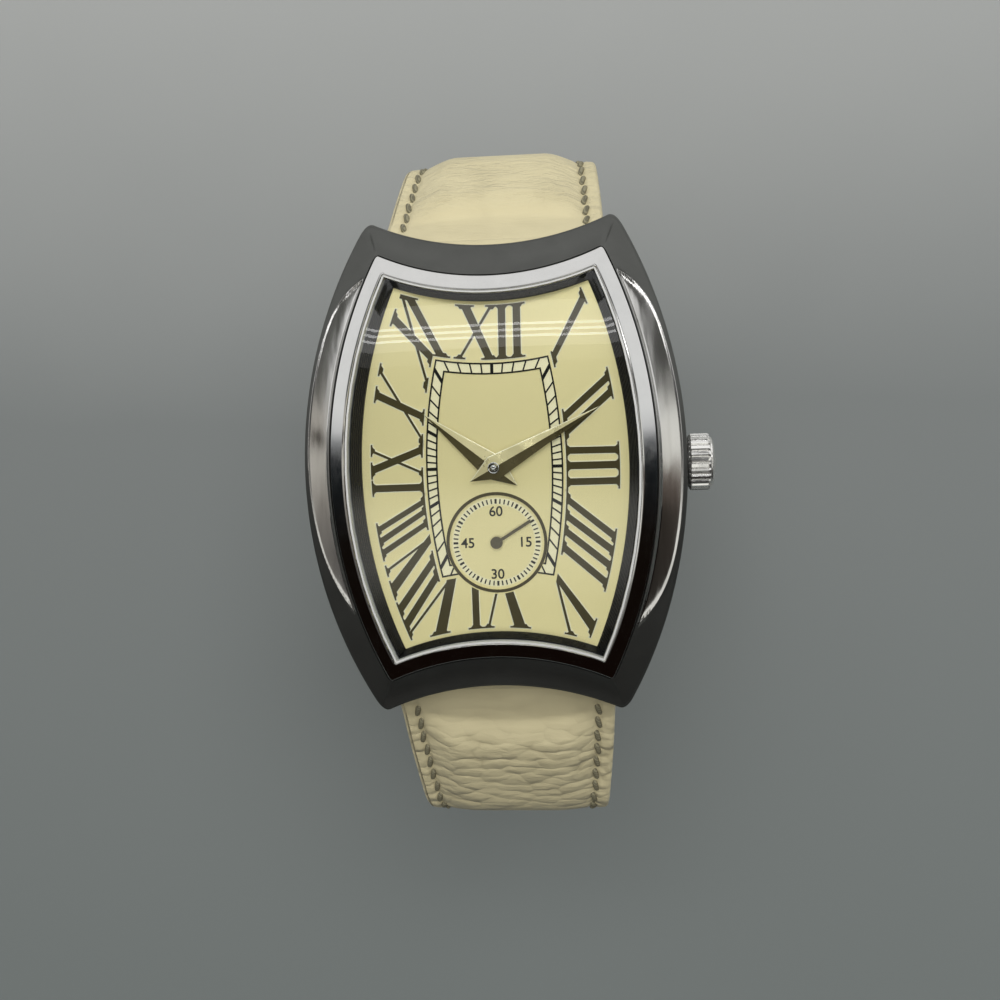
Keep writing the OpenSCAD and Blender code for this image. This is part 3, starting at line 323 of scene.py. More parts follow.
class Tree:
    """A material's node tree with short ways to add to it."""

    def __init__(self, name: str) -> None:
        """Starts a material that holds one Principled shader.

        Args:
            name: the material's name.
        """
        self.material = bpy.data.materials.new(name)
        self.material.use_nodes = True
        self.nodes = self.material.node_tree.nodes
        self.links = self.material.node_tree.links
        self.shader = self.nodes["Principled BSDF"]
        self.out = self.nodes["Material Output"]

    def add(self, kind: str, settings: dict | None = None, **inputs: object) -> Node:
        """Adds a node.

        Args:
            kind: Blender's node type, without its ShaderNode prefix.
            settings: properties of the node.
            inputs: sockets by name, with _ for a space, as values or as sockets to link.

        Returns:
            The node.
        """
        node = self.nodes.new("ShaderNode" + kind)
        for key, value in (settings or {}).items():
            setattr(node, key, value)
        for key, value in inputs.items():
            self.put(node, key, value)
        return node

    def put(self, node: Node, key: str, value: object) -> None:
        """Sets or links one input.

        Args:
            node: the node.
            key: the input's name, or its number as in_0, in_1 and so on.
            value: a value, or a socket to link.
        """
        name = int(key[3:]) if key.startswith("in_") else key.replace("_", " ")
        socket = node.inputs[name]
        if isinstance(value, NodeSocket):
            self.links.new(value, socket)
        else:
            socket.default_value = value

    def coords(self, scale: Triple = (1, 1, 1), turn: Triple = (0, 0, 0),
               uv: bool = False) -> NodeSocket:
        """Texture place in millimetres.

        Args:
            scale: factors along the three axes.
            turn: turns about the three axes, in radians.
            uv: whether the piece's own map is read in place of its shape.

        Returns:
            The place as a vector.
        """
        source = self.add("TexCoord").outputs["UV" if uv else "Object"]
        k = 1.0 if uv else 1000.0
        node = self.add("Mapping", Vector=source, Rotation=turn, Scale=tuple(k * s for s in scale))
        return node.outputs[0]

    def noise(self, where: NodeSocket, scale: float, detail: float = 3.0,
              rough: float = 0.55, flat: bool = False) -> NodeSocket:
        """Value noise at a place, on a plane if flat."""
        return self.add("TexNoise", {"noise_dimensions": "2D"} if flat else None, Vector=where,
                        Scale=scale, Detail=detail, Roughness=rough).outputs["Fac"]

    def waves(self, where: NodeSocket, direction: str, scale: float,
              bend: float, **inputs: float) -> NodeSocket:
        """Sine bands across a direction, bent by noise."""
        return self.add("TexWave", {"bands_direction": direction}, Vector=where, Scale=scale,
                        Distortion=bend, **inputs).outputs["Fac"]

    def ramp(self, fac: NodeSocket, stops: list[tuple[float, tuple]]) -> NodeSocket:
        """Colour ramp over a value.

        Args:
            fac: the value.
            stops: places on the ramp and their colours.

        Returns:
            The colour.
        """
        node = self.add("ValToRGB", Fac=fac)
        band = node.color_ramp
        while len(band.elements) < len(stops):
            band.elements.new(0.5)
        for element, (at, colour) in zip(band.elements, stops):
            element.position = at
            element.color = (*colour, 1.0)
        return node.outputs[0]

    def tones(self, fac: NodeSocket, tone: Triple, dim: float,
              low: float = 0.3, high: float = 0.7) -> NodeSocket:
        """Tone at and above high, and the tone times dim at and below low."""
        return self.ramp(fac, [(low, tuple(dim * c for c in tone)), (high, tone)])

    def math(self, how: str, a: object, b: object = 0.0, clamp: bool = False) -> NodeSocket:
        """Arithmetic on two values."""
        return self.add("Math", {"operation": how, "use_clamp": clamp}, in_0=a, in_1=b).outputs[0]

    def times(self, a: object, b: object) -> NodeSocket:
        """Product of two values."""
        return self.math("MULTIPLY", a, b)

    def plus(self, a: object, b: object) -> NodeSocket:
        """Sum of two values."""
        return self.math("ADD", a, b)

    def minus(self, a: object, b: object) -> NodeSocket:
        """First value less the second."""
        return self.math("SUBTRACT", a, b)

    def span(self, value: object, low: float, high: float, to_low: float = 0.0,
             to_high: float = 1.0) -> NodeSocket:
        """Value mapped from one range to another and held inside it."""
        return self.add("MapRange", {"interpolation_type": "SMOOTHSTEP"}, Value=value, in_1=low,
                        in_2=high, in_3=to_low, in_4=to_high).outputs[0]

    def mix(self, fac: object, a: object, b: object) -> NodeSocket:
        """Colour between two.

        Args:
            fac: share of the second.
            a: the first colour.
            b: the second colour.

        Returns:
            The colour.
        """
        node = self.add("Mix", {"data_type": "RGBA"})
        self.put(node, "in_0", fac)
        self.put(node, "in_6", a)
        self.put(node, "in_7", b)
        return node.outputs[2]

    def bump(self, height: NodeSocket, depth: float, strength: float = 1.0,
             under: NodeSocket | None = None) -> NodeSocket:
        """Bumped normal.

        Args:
            height: the relief, from 0 to 1.
            depth: how high 1 stands, in millimetres.
            strength: share of the relief that is used.
            under: a bumped normal that this relief lies on.

        Returns:
            The normal.
        """
        node = self.add("Bump", Height=height, Strength=strength, Distance=depth * MM)
        if under is not None:
            self.links.new(under, node.inputs["Normal"])
        return node.outputs[0]

    def finish(self, **inputs: object) -> Material:
        """Sets the shader's inputs.

        Args:
            inputs: values or sockets by the inputs' names.

        Returns:
            The finished material.
        """
        for key, value in inputs.items():
            self.put(self.shader, key, value)
        return self.material


class RoomTree(Tree):
    """A world's node tree with the same ways to add to it."""

    def __init__(self, world: bpy.types.World) -> None:
        """Starts on the world's own nodes, which hold one Background."""
        world.use_nodes = True
        self.nodes, self.links = world.node_tree.nodes, world.node_tree.links


def rgba(r: float, g: float, b: float) -> tuple[float, float, float, float]:
    """Opaque colour."""
    return (r, g, b, 1.0)


@dataclass(frozen=True)
class SteelFinish:
    """Satin steel with fine specks and a slow drift of tone, drawn out along Y if brushed."""

    name: str
    tone: Triple
    roughness: float
    speck: float = 0.35
    brushed: float = 0.0

    def make(self) -> Material:
        """Builds the nodes.

        Returns:
            The material.
        """
        tree = Tree(self.name)
        grain = tree.noise(tree.coords((1.0, 1.0 - 0.96 * self.brushed, 1.0)), 9.0, 4.0, 0.7)
        colour = tree.tones(tree.noise(tree.coords(), 0.25, 2.0), self.tone, 0.82)
        rough = tree.span(grain, 0.2, 0.8, self.roughness * (1 - self.speck),
                          self.roughness * (1 + self.speck))
        return tree.finish(Base_Color=colour, Metallic=1.0, Roughness=rough,
                           Normal=tree.bump(grain, 0.004, 0.25))


@dataclass(frozen=True)
class ShoulderFinish:
    """Dark satin steel with mirror-polished flank facets, told apart by the facet value."""

    satin: Triple = (0.128, 0.130, 0.122)
    mirror: Triple = (0.68, 0.67, 0.65)
    mirror_dark: Triple = (0.52, 0.51, 0.49)
    mirror_light: Triple = (0.80, 0.79, 0.77)
    satin_rough: float = 0.46
    mirror_rough: float = 0.15
    satin_metal: float = 0.86

    def make(self) -> Material:
        """Builds the nodes.

        Returns:
            The material.
        """
        tree = Tree("satin_and_mirror_steel")
        facet = tree.add("Attribute", {"attribute_name": "facet"}).outputs["Fac"]
        mask = tree.span(facet, -0.03, 0.05)
        fine = tree.noise(tree.coords(), 14.0, 3.0, 0.7)
        drift = tree.noise(tree.coords(), 0.3, 3.0)
        streak = tree.noise(tree.coords((1.0, 0.10, 0.4)), 0.7, 2.0, 0.5)
        satin = tree.tones(drift, self.satin, 0.86)
        mirror = tree.ramp(streak, [(0.30, self.mirror_dark), (0.52, self.mirror),
                                    (0.75, self.mirror_light)])
        rough_satin = tree.span(fine, 0.2, 0.8, self.satin_rough * 0.86, self.satin_rough * 1.14)
        rough_mirror = tree.span(streak, 0.25, 0.75, self.mirror_rough * 0.7,
                                 self.mirror_rough * 1.5)
        rough = tree.add("Mix", {"data_type": "FLOAT"}, in_0=mask, in_2=rough_satin,
                         in_3=rough_mirror).outputs[0]
        ripple = tree.noise(tree.coords((1.0, 0.22, 0.6)), 0.55, 2.0)
        soft = tree.bump(tree.times(ripple, mask), 0.12, 0.5)
        return tree.finish(Base_Color=tree.mix(mask, satin, mirror),
                           Metallic=tree.span(mask, 0, 1, self.satin_metal, 1.0),
                           Roughness=rough, Normal=tree.bump(fine, 0.003, 0.3, soft))


@dataclass(frozen=True)
class PolishFinish:
    """Polished metal with faint wipe marks and hairlines."""

    name: str
    tone: Triple
    roughness: float = 0.06
    metal: float = 1.0

    def make(self) -> Material:
        """Builds the nodes.

        Returns:
            The material.
        """
        tree = Tree(self.name)
        cloud = tree.noise(tree.coords(), 0.45, 4.0, 0.65)
        hair = tree.noise(tree.coords((1.0, 0.05, 1.0), (0, 0, 0.5)), 6.0, 2.0)
        wiped = tree.span(cloud, 0.35, 0.75, self.roughness * 0.6, self.roughness * 1.6)
        rough = tree.plus(wiped, tree.span(hair, 0.62, 0.75, 0.0, 0.03))
        return tree.finish(Base_Color=tree.tones(cloud, self.tone, 0.93), Metallic=self.metal,
                           Roughness=rough, Normal=tree.bump(hair, 0.002, 0.1))


@dataclass(frozen=True)
class PlainFinish:
    """Plastic, rubber, lacquer or printed ink with a fine grain, its depth in millimetres."""

    name: str
    tone: Triple
    roughness: float = 0.45
    grain: float = 12.0
    depth: float = 0.004
    coat: float = 0.0
    specular: float = 0.5

    def make(self) -> Material:
        """Builds the nodes.

        Returns:
            The material.
        """
        tree = Tree(self.name)
        grain = tree.noise(tree.coords(), self.grain, 3.0, 0.6)
        rough = tree.span(grain, 0.2, 0.8, self.roughness * 0.85, min(1.0, self.roughness * 1.15))
        return tree.finish(Base_Color=tree.tones(grain, self.tone, 0.88), Roughness=rough,
                           Coat_Weight=self.coat, Specular_IOR_Level=self.specular,
                           Normal=tree.bump(grain, self.depth, 0.5))


@dataclass(frozen=True)
class CrystalFinish:
    """Clear glass that shows what is under it and mirrors the room by its Fresnel share."""

    ior: float = 1.55
    clear: tuple[float, float, float, float] = (0.985, 0.995, 0.99, 1.0)

    def make(self) -> Material:
        """Builds the nodes.

        Returns:
            The material.
        """
        tree = Tree("domed_crystal")
        tree.nodes.remove(tree.shader)
        smear = tree.noise(tree.coords((0.3, 1.0, 1.0)), 0.6, 3.0)
        gloss = tree.add("BsdfGlossy", Color=rgba(1, 1, 1),
                         Roughness=tree.span(smear, 0.4, 0.8, 0.0, 0.05))
        clear = tree.add("BsdfTransparent", Color=self.clear)
        fresnel = tree.add("Fresnel", IOR=self.ior).outputs[0]
        inside = tree.add("NewGeometry").outputs["Backfacing"]
        share = tree.times(fresnel, tree.minus(1.0, inside))
        both = tree.add("MixShader", Fac=share, in_1=clear.outputs[0], in_2=gloss.outputs[0])
        tree.links.new(both.outputs[0], tree.out.inputs["Surface"])
        return tree.material


@dataclass(frozen=True)
class DialFinish:
    """Cream lacquer over a linen-fine grain, a little metallic, with paler printed bands.

    The minute track is band wide. It is hidden inside the radius given with the small seconds'
    y, and the seconds scale is paler between two radii.
    """

    track: Outline
    seconds: tuple[float, float]
    band: float = 0.96
    scale: tuple[float, float] = (3.62, 4.32)
    tone: Triple = (0.97, 0.86, 0.47)
    shade: Triple = (0.88, 0.78, 0.40)
    pale: Triple = (0.96, 0.91, 0.66)
    metal: tuple[float, float] = (0.52, 0.34)

    @staticmethod
    def length(tree: Tree, a: object, b: object) -> NodeSocket:
        """Length of the vector a, b."""
        return tree.math("SQRT", tree.plus(tree.times(a, a), tree.times(b, b)))

    def pale_share(self, tree: Tree) -> NodeSocket:
        """Share of the paler print under the minute track and under the small seconds scale.

        The depth inside the track's outline is the lesser of two: the side arc's radius less
        the distance to its centre, and the distance to the end arc's centre less its radius.

        Args:
            tree: the dial's node tree.

        Returns:
            The share, from 0 to 1.
        """
        parts = tree.add("SeparateXYZ", Vector=tree.coords()).outputs
        x, y = parts["X"], parts["Y"]
        form, edge = self.track, 0.03
        across = tree.plus(tree.math("ABSOLUTE", x), form.side_r - form.half_w)
        along = tree.minus(form.half_l + form.end_r, tree.math("ABSOLUTE", y))
        depth = tree.math("MINIMUM", tree.minus(form.side_r, self.length(tree, across, y)),
                          tree.minus(self.length(tree, x, along), form.end_r))
        off = self.length(tree, x, tree.minus(y, self.seconds[0]))
        track = tree.times(tree.span(depth, 0.0, edge),
                           tree.span(depth, self.band - edge, self.band, 1, 0))
        track = tree.times(track, tree.span(off, self.seconds[1], self.seconds[1] + 0.1))
        low, high = self.scale
        ring = tree.times(tree.span(off, low, low + 0.1), tree.span(off, high - 0.06, high, 1, 0))
        return tree.math("MAXIMUM", track, ring)

    def make(self) -> Material:
        """Builds the nodes.

        Returns:
            The material.
        """
        tree = Tree("cream_dial_lacquer")
        threads = [tree.waves(tree.coords(stretch), way, 2.3, 1.2, Detail=2.0, Detail_Scale=3.0)
                   for way, stretch in (("X", (1, 0.02, 1)), ("Y", (0.02, 1, 1)))]
        speck = tree.noise(tree.coords(), 11.0, 4.0, 0.75)
        grain = tree.plus(tree.times(tree.times(*threads), 0.35), speck)
        colour = tree.ramp(grain, [(0.35, self.shade), (0.75, self.tone)])
        pale = self.pale_share(tree)
        colour = tree.mix(tree.times(pale, 0.7), colour, rgba(*self.pale))
        return tree.finish(Base_Color=colour, Metallic=tree.span(pale, 0, 1, *self.metal),
                           Roughness=0.36, Normal=tree.bump(grain, 0.010, 0.4))


@dataclass(frozen=True)
class LeatherFinish:
    """Soft leather on the strap's own map: across in u and along in v, in millimetres.

    Pillow is the share of rounded cells, and wrinkle that of fine wrinkles across the strap.
    The colour darkens towards groove in the creases between cells, a painted crease shade,
    and in random patches, the leather's own tone.
    """

    name: str
    tone: Triple
    groove: Triple
    pillow: float
    wrinkle: float
    depth: float
    roughness: float = 0.52

    def make(self) -> Material:
        """Builds the material.

        A cell's roundness is 1 - 1.5 d^2, where d is the distance to the cell's middle.

        Returns:
            The material.
        """
        tree = Tree(self.name)
        flat = tree.coords(uv=True)
        bend = tree.add("TexNoise", {"noise_dimensions": "2D"}, Vector=flat, Scale=0.4, Detail=1.5)
        shift = tree.add("VectorMath", {"operation": "MULTIPLY_ADD"}, in_0=bend.outputs["Color"],
                         in_1=(1.3, 1.1, 0.0), in_2=flat).outputs[0]
        wide, long = (tree.add("Mapping", Vector=shift, Scale=(across, 1.0, 1.0)).outputs[0]
                      for across in (0.46, 0.22))
        cells = tree.add("TexVoronoi", {"voronoi_dimensions": "2D", "feature": "SMOOTH_F1"},
                         Vector=wide, Scale=0.80, Smoothness=0.12, Randomness=0.86)
        off = cells.outputs["Distance"]
        round_top = tree.math("SUBTRACT", 1.0, tree.times(tree.times(off, off), 1.5), clamp=True)
        wrinkles = tree.noise(long, 1.25, 4.0, 0.62, flat=True)
        pores = tree.noise(flat, 6.0, 3.0, 0.7, flat=True)
        patchy = tree.noise(flat, 0.22, 2.0, 0.5, flat=True)
        grain = tree.add("Attribute", {"attribute_name": "grain"}).outputs["Fac"]
        height = tree.plus(tree.times(round_top, self.pillow),
                           tree.times(tree.span(wrinkles, 0.3, 0.7), self.wrinkle))
        height = tree.times(height, tree.span(patchy, 0.25, 0.75, 0.6, 1.0))
        height = tree.times(height, grain)
        # Darker colour in the creases between cells: painted crease shade.
        deep = tree.times(tree.span(round_top, 0.1, 0.55, 1.0, 0.0), grain)
        tone, groove = rgba(*self.tone), rgba(*self.groove)
        colour = tree.mix(tree.times(deep, 0.45 * self.pillow), tone, groove)
        colour = tree.mix(tree.span(patchy, 0.3, 0.8, 0.0, 0.18), colour, groove)
        rough = tree.span(pores, 0.2, 0.8, self.roughness - 0.07, self.roughness + 0.09)
        normal = tree.bump(pores, 0.012, 0.5, tree.bump(height, self.depth, 0.9))
        return tree.finish(Base_Color=colour, Roughness=rough, Normal=normal,
                           Specular_IOR_Level=0.42, Sheen_Weight=0.08, Sheen_Roughness=0.5)


@dataclass(frozen=True)
class ThreadFinish:
    """Twisted waxed thread: slanting plies with fuzz."""

    tone: Triple = (0.25, 0.23, 0.15)

    def make(self) -> Material:
        """Builds the nodes.

        Returns:
            The material.
        """
        tree = Tree("olive_thread")
        ply = tree.waves(tree.coords(), "DIAGONAL", 1.6, 0.8, Detail=1.0)
        fuzz = tree.noise(tree.coords(), 10.0, 3.0)
        height = tree.plus(ply, tree.times(fuzz, 0.4))
        return tree.finish(Base_Color=tree.tones(ply, self.tone, 0.55, 0.1, 0.8), Roughness=0.7,
                           Normal=tree.bump(height, 0.03, 0.7))


@dataclass(frozen=True)
class WindingFinish:
    """Fine copper wire wound side by side along Y."""

    tone: Triple = (0.62, 0.22, 0.09)

    def make(self) -> Material:
        """Builds the nodes.

        Returns:
            The material.
        """
        tree = Tree("copper_winding")
        turns = tree.waves(tree.coords(), "Y", 2.6, 0.6, Detail=1.0)
        return tree.finish(Base_Color=tree.tones(turns, self.tone, 0.45, 0.1, 0.8), Metallic=0.9,
                           Roughness=0.3, Normal=tree.bump(turns, 0.02, 0.8))


@dataclass(frozen=True)
class StripedFinish:
    """Plated metal with broad polished waves across it, turned by an angle in radians."""

    name: str
    tone: Triple
    turn: float = 0.6

    def make(self) -> Material:
        """Builds the nodes.

        Returns:
            The material.
        """
        tree = Tree(self.name)
        turn = (0, 0, self.turn)
        waves = tree.add("TexWave", {"bands_direction": "X", "wave_profile": "SAW"},
                         Vector=tree.coords(turn=turn), Scale=0.22, Distortion=0.1)
        fine = tree.noise(tree.coords((1, 0.08, 1), turn), 8.0, 2.0)
        return tree.finish(Base_Color=tree.tones(waves.outputs["Fac"], self.tone, 0.72, 0.1, 0.9),
                           Metallic=1.0, Roughness=tree.span(fine, 0.3, 0.7, 0.18, 0.34),
                           Normal=tree.bump(fine, 0.003, 0.4))


# Case, bezel and crystal


@dataclass
class CaseWorks:
    """Case middle with its horns, bezel, crystal and inner flange.

    Heights are those at the middle of their arches. Each flank facet has the y of its pointed
    end and the ease with which it widens there: above, lower right and lower left.
    """

    case: Outline = Outline(18.25, 49.9, 21.35, 27.0)
    bezel: Outline = Outline(15.42, 48.4, 18.18, 25.0)
    arch_r: float = 75.0
    cross_r: float = 200.0
    dial_arch_r: float = 150.0
    edge_z: float = 7.9
    groove_z: float = 8.9
    ledge_z: float = 7.0
    crest_z: float = 9.54
    cover_z: float = 6.7
    under_z: float = 1.3
    under_r: float = 240.0
    slope: float = 1.47
    gasket: float = 0.25
    crystal_t: float = 1.1
    dial_z: float = 6.0
    dial_low: float = 5.6
    floor_z: float = 1.35
    channel_half: float = 11.1
    channel_y: float = 19.25
    groove_w: float = 0.08
    seat_in: float = 1.6
    holder_in: float = 2.8
    back_in: tuple[float, float] = (3.15, 4.45)
    corner: float = 0.03
    columns: int = 96
    shoulder_rows: int = 34
    facet_tips: Triple = (18.5, 15.4, 14.0)
    facet_ease: Triple = (1.6, 2.4, 3.9)
    facet_reach: float = 0.93
    facet_start: float = 0.035
    facet_step: float = 0.30

    def dome(self, q: Array, crest: float) -> Array:
        """Height of the domed top at points q: the crest less both arches' sags."""
        return crest - sag(q[..., 1], self.arch_r) - sag(q[..., 0], self.cross_r)

    def dial_seat(self, q: Array) -> Array:
        """Height of the dial's underside at points q."""
        return self.dial_low - sag(q[:, 1], self.dial_arch_r - 0.4)

    def opening(self) -> Outline:
        """Outline of the crystal's hole in the bezel, less the gasket."""
        return self.bezel.inset(self.slope + self.gasket)

    def stations(self, step: bool = False) -> Array:
        """Places round the outline, closer together towards the corners as a sine.

        Args:
            step: whether to double the stations at the sides of the strap channels.

        Returns:
            Rows of t and a flag that is 1 where the strap channel is open.
        """
        u = np.linspace(-0.5, 0.5, self.columns, endpoint=False)
        u = 0.5 * np.sin(np.pi * u) * 0.35 + u * 0.65
        t = np.concatenate([k + u for k in range(4)])
        flag = np.zeros_like(t)
        if step:
            whole = 2 * math.asin(self.case.corner()[0] / self.case.end_r)
            edge = math.asin(self.channel_half / self.case.end_r) / whole
            for k in (1, 3):
                flag[np.abs(t - k) < edge] = 1.0
                t = np.concatenate([t, [k - edge, k - edge, k + edge, k + edge]])
                flag = np.concatenate([flag, [0.0, 1.0, 1.0, 0.0]])
            order = np.lexsort((np.where(t % 2 < 1, flag, -flag), t))
            t, flag = t[order], flag[order]
        return np.stack([t, flag], -1)

    def shoulder(self, t: Array, rows: int) -> tuple[Array, Array]:
        """Top shoulder from the bezel's groove to the outer edge, with its flank facets.

        A straight fall between two outlines, less a cut on each flank. The cut reaches out to
        facet_reach of the fall, times 1 - e^(-u / ease), where u is the distance along the
        flank from its pointed end. It steps down beside the groove and runs out at its outer
        border, where a fine lip stands. The ends are hollowed by a sine.

        Args:
            t: places round the outline.
            rows: number of rows from groove to edge.

        Returns:
            The points, and the facet value, which is above 0 inside the polished facet.
        """
        start = self.bezel.inset(-self.groove_w).rounded(t, 0.02)
        end = self.case.inset(0.22).rounded(t, self.corner)
        r = np.linspace(0, 1, rows)[:, None]
        q = start[None] * (1 - r[..., None]) + end[None] * r[..., None]
        z = self.dome(q, 0.0) + (self.groove_z + (self.edge_z - self.groove_z) * r)
        width = np.linalg.norm(end - start, axis=-1)[None]
        side = (np.floor(t + 0.5) % 2 == 0)[None]
        x, y = q[..., 0], q[..., 1]
        tip, ease = (np.where(y > 0, above, np.where(x > 0, right, left))
                     for above, right, left in (self.facet_tips, self.facet_ease))
        border = self.facet_reach * (1 - np.exp(-np.maximum(tip - np.abs(y), 0.0) / ease))
        inside = (r - self.facet_start) * width
        facet = np.where(side, np.minimum((border - r) * width, inside), -1.0)
        share = np.clip((border - r) / np.maximum(border, 0.05), 0.0, 1.0)
        step = self.facet_step
        depth = smooth(0.0, step, inside) * (step * share ** 0.9 + 0.05 * np.sin(np.pi * share))
        lip = 0.05 * smooth(0.25, 0.0, np.abs(facet)) * side * (r < 0.985) * (r > 0.3)
        z = z - depth * side + lip * (facet > -0.5)
        bowl = np.where(side, 0.0, 0.22 * np.sin(np.pi * r))
        return raised(q, z - bowl), facet

    def middle(self) -> Object:
        """Case middle as a closed ring of insets: seat, ledge, shoulder, wall and underside.

        Returns:
            The piece.
        """
        t, is_open = self.stations(True).T
        is_open = is_open > 0
        top, facet = self.shoulder(t, self.shoulder_rows)
        seat = self.bezel.inset(self.seat_in).at(t)
        holder = self.bezel.inset(self.holder_in).at(t)
        groove = self.bezel.inset(-self.groove_w).rounded(t, 0.02)
        wall = self.case.rounded(t, self.corner)
        back = self.case.inset(*self.back_in).at(t)
        channel_y = np.sign(wall[:, 1]) * self.channel_y
        inner = np.stack([np.where(is_open, wall[:, 0], wall[:, 0] * 0.995),
                          np.where(is_open, channel_y, wall[:, 1] * 0.995)], -1)
        ledge, foot, roof, inner_roof = (
            height - sag(q[:, 1], self.arch_r)
            for q, height in ((seat, self.ledge_z), (groove, self.ledge_z),
                              (wall, self.cover_z), (inner, self.cover_z)))
        under, inner_under, back_under = (self.under_z - sag(q[:, 1], self.under_r)
                                          for q in (wall, inner, back))
        edge = self.dome(wall, self.edge_z)
        bottom = np.where(is_open, roof, under)
        rows = [raised(holder, self.floor_z), raised(holder, self.dial_seat(holder)),
                raised(seat, np.minimum(self.dial_seat(seat), ledge - 0.01)),
                raised(seat, ledge), raised(groove, foot)]
        first = len(rows)
        rows += list(top)
        for inset, z in ((0.16, edge - 0.03), (0.06, edge - 0.12), (0.0, edge - 0.30)):
            rows.append(raised(self.case.inset(inset).rounded(t, self.corner), z))
        rows.append(raised(wall, bottom + 0.25))
        for inset, z in ((0.08, bottom + 0.06), (0.25, bottom)):
            rows.append(raised(self.case.inset(inset).rounded(t, self.corner), z))
        rows += [raised(inner, np.where(is_open, inner_roof, under)),
                 raised(inner, np.where(is_open, inner_under, under)),
                 raised(back, np.minimum(back_under, self.floor_z)), raised(back, self.floor_z)]
        fact = np.full((len(rows), len(t)), -1.0)
        fact[first:first + len(top)] = facet
        return build_mesh("case_shell", [Patch.ring(rows, facts={"facet": fact})], 24.0)

    def bezel_ring(self) -> Object:
        """Bezel as insets of its outline: outer wall, slope with eased edges, crest, inner wall.

        Returns:
            The piece.
        """
        t = self.stations()[:, 0]
        foot, low, crest = self.ledge_z + 0.02, self.groove_z, self.crest_z
        steps = [(0.0, foot, True), (0.0, low - 0.05, False), (0.05, low + 0.01, False),
                 (0.12, low + 0.05, False), (0.45, low + 0.208, False), (0.85, low + 0.399, False),
                 (1.25, crest - 0.05, False), (1.30, crest - 0.028, False),
                 (1.33, crest - 0.022, False), (1.43, crest - 0.014, False),
                 (1.46, crest - 0.03, False), (1.49, crest - 0.09, False), (1.49, 7.99, False),
                 (1.05, 7.99, False), (1.05, foot, True)]
        rows = []
        for inset, height, flat in steps:
            q = self.bezel.inset(inset).rounded(t, 0.012)
            z = height - sag(q[:, 1], self.arch_r) if flat else self.dome(q, height)
            rows.append(raised(q, z))
        return build_mesh("bezel_ring", [Patch.ring(rows)], 26.0)

    def glass(self) -> Object:
        """Domed crystal: shrinking copies of its outline above and below, with a small bevel.

        Returns:
            The piece.
        """
        outline = self.opening().rounded(self.stations()[:, 0], 0.02)
        crest = self.crest_z - 0.1
        low = crest - self.crystal_t
        steps = ([(share, low) for share in np.linspace(0.0, 1.0, 16)] + [(1.0, crest - 0.12)]
                 + [(share, crest) for share in np.linspace(0.992, 0.0, 16)])
        rows = [raised(outline * share, self.dome(outline * share, z)) for share, z in steps]
        return build_mesh("domed_crystal", [Patch(np.stack(rows), wrap_cols=True)], 40.0)

    def flange(self) -> Object:
        """Black inner flange that steps down from the crystal to the dial in fine ledges.

        Each of its six ledges starts at its share k of the way: it goes in by 0.11 and down
        by 0.02, and then falls to 0.10.

        Returns:
            The piece.
        """
        t, ledges = self.stations()[:, 0], 6
        under_glass = self.crest_z - 0.1 - self.crystal_t
        face = self.dial_z + 0.02
        start, end, outer, side = (form.at(t) for form in (
            self.bezel.inset(self.slope + self.gasket + 0.12), self.bezel.inset(2.6, 2.3),
            self.bezel.inset(1.8), self.opening()))
        z0 = self.dome(start, under_glass - 0.02)
        z1, z2 = (face - sag(q[:, 1], self.dial_arch_r) for q in (end, outer))
        rows = []
        for k in np.arange(ledges) / ledges:
            for a, b in ((k, k), (k + 0.11, k + 0.02), (k + 0.14, k + 0.10)):
                rows.append(raised(start * (1 - a) + end * a, z0 * (1 - b) + z1 * b))
        rows += [raised(end, z1), raised(outer, z2),
                 raised(side, self.dome(side, under_glass - 0.32))]
        return build_mesh("inner_flange", [Patch.ring(rows)], 20.0)

    def build(self) -> None:
        """Makes and dresses the case's pieces."""
        place(dress(self.middle(), ShoulderFinish().make()), "case", "case_steel", "case_middle")
        polish = PolishFinish("mirror_steel", (0.69, 0.685, 0.67), 0.11).make()
        place(dress(self.bezel_ring(), polish), "case", "polished_steel", "bezel")
        place(dress(self.glass(), CrystalFinish().make()), "case", "sapphire", "crystal")
        dark = PlainFinish("black_flange", (0.004, 0.004, 0.004), 0.30, 6.0, 0.002, specular=0.22)
        place(dress(self.flange(), dark.make()), "case", "dark_flange", "rehaut_ring")


# Dial and hands


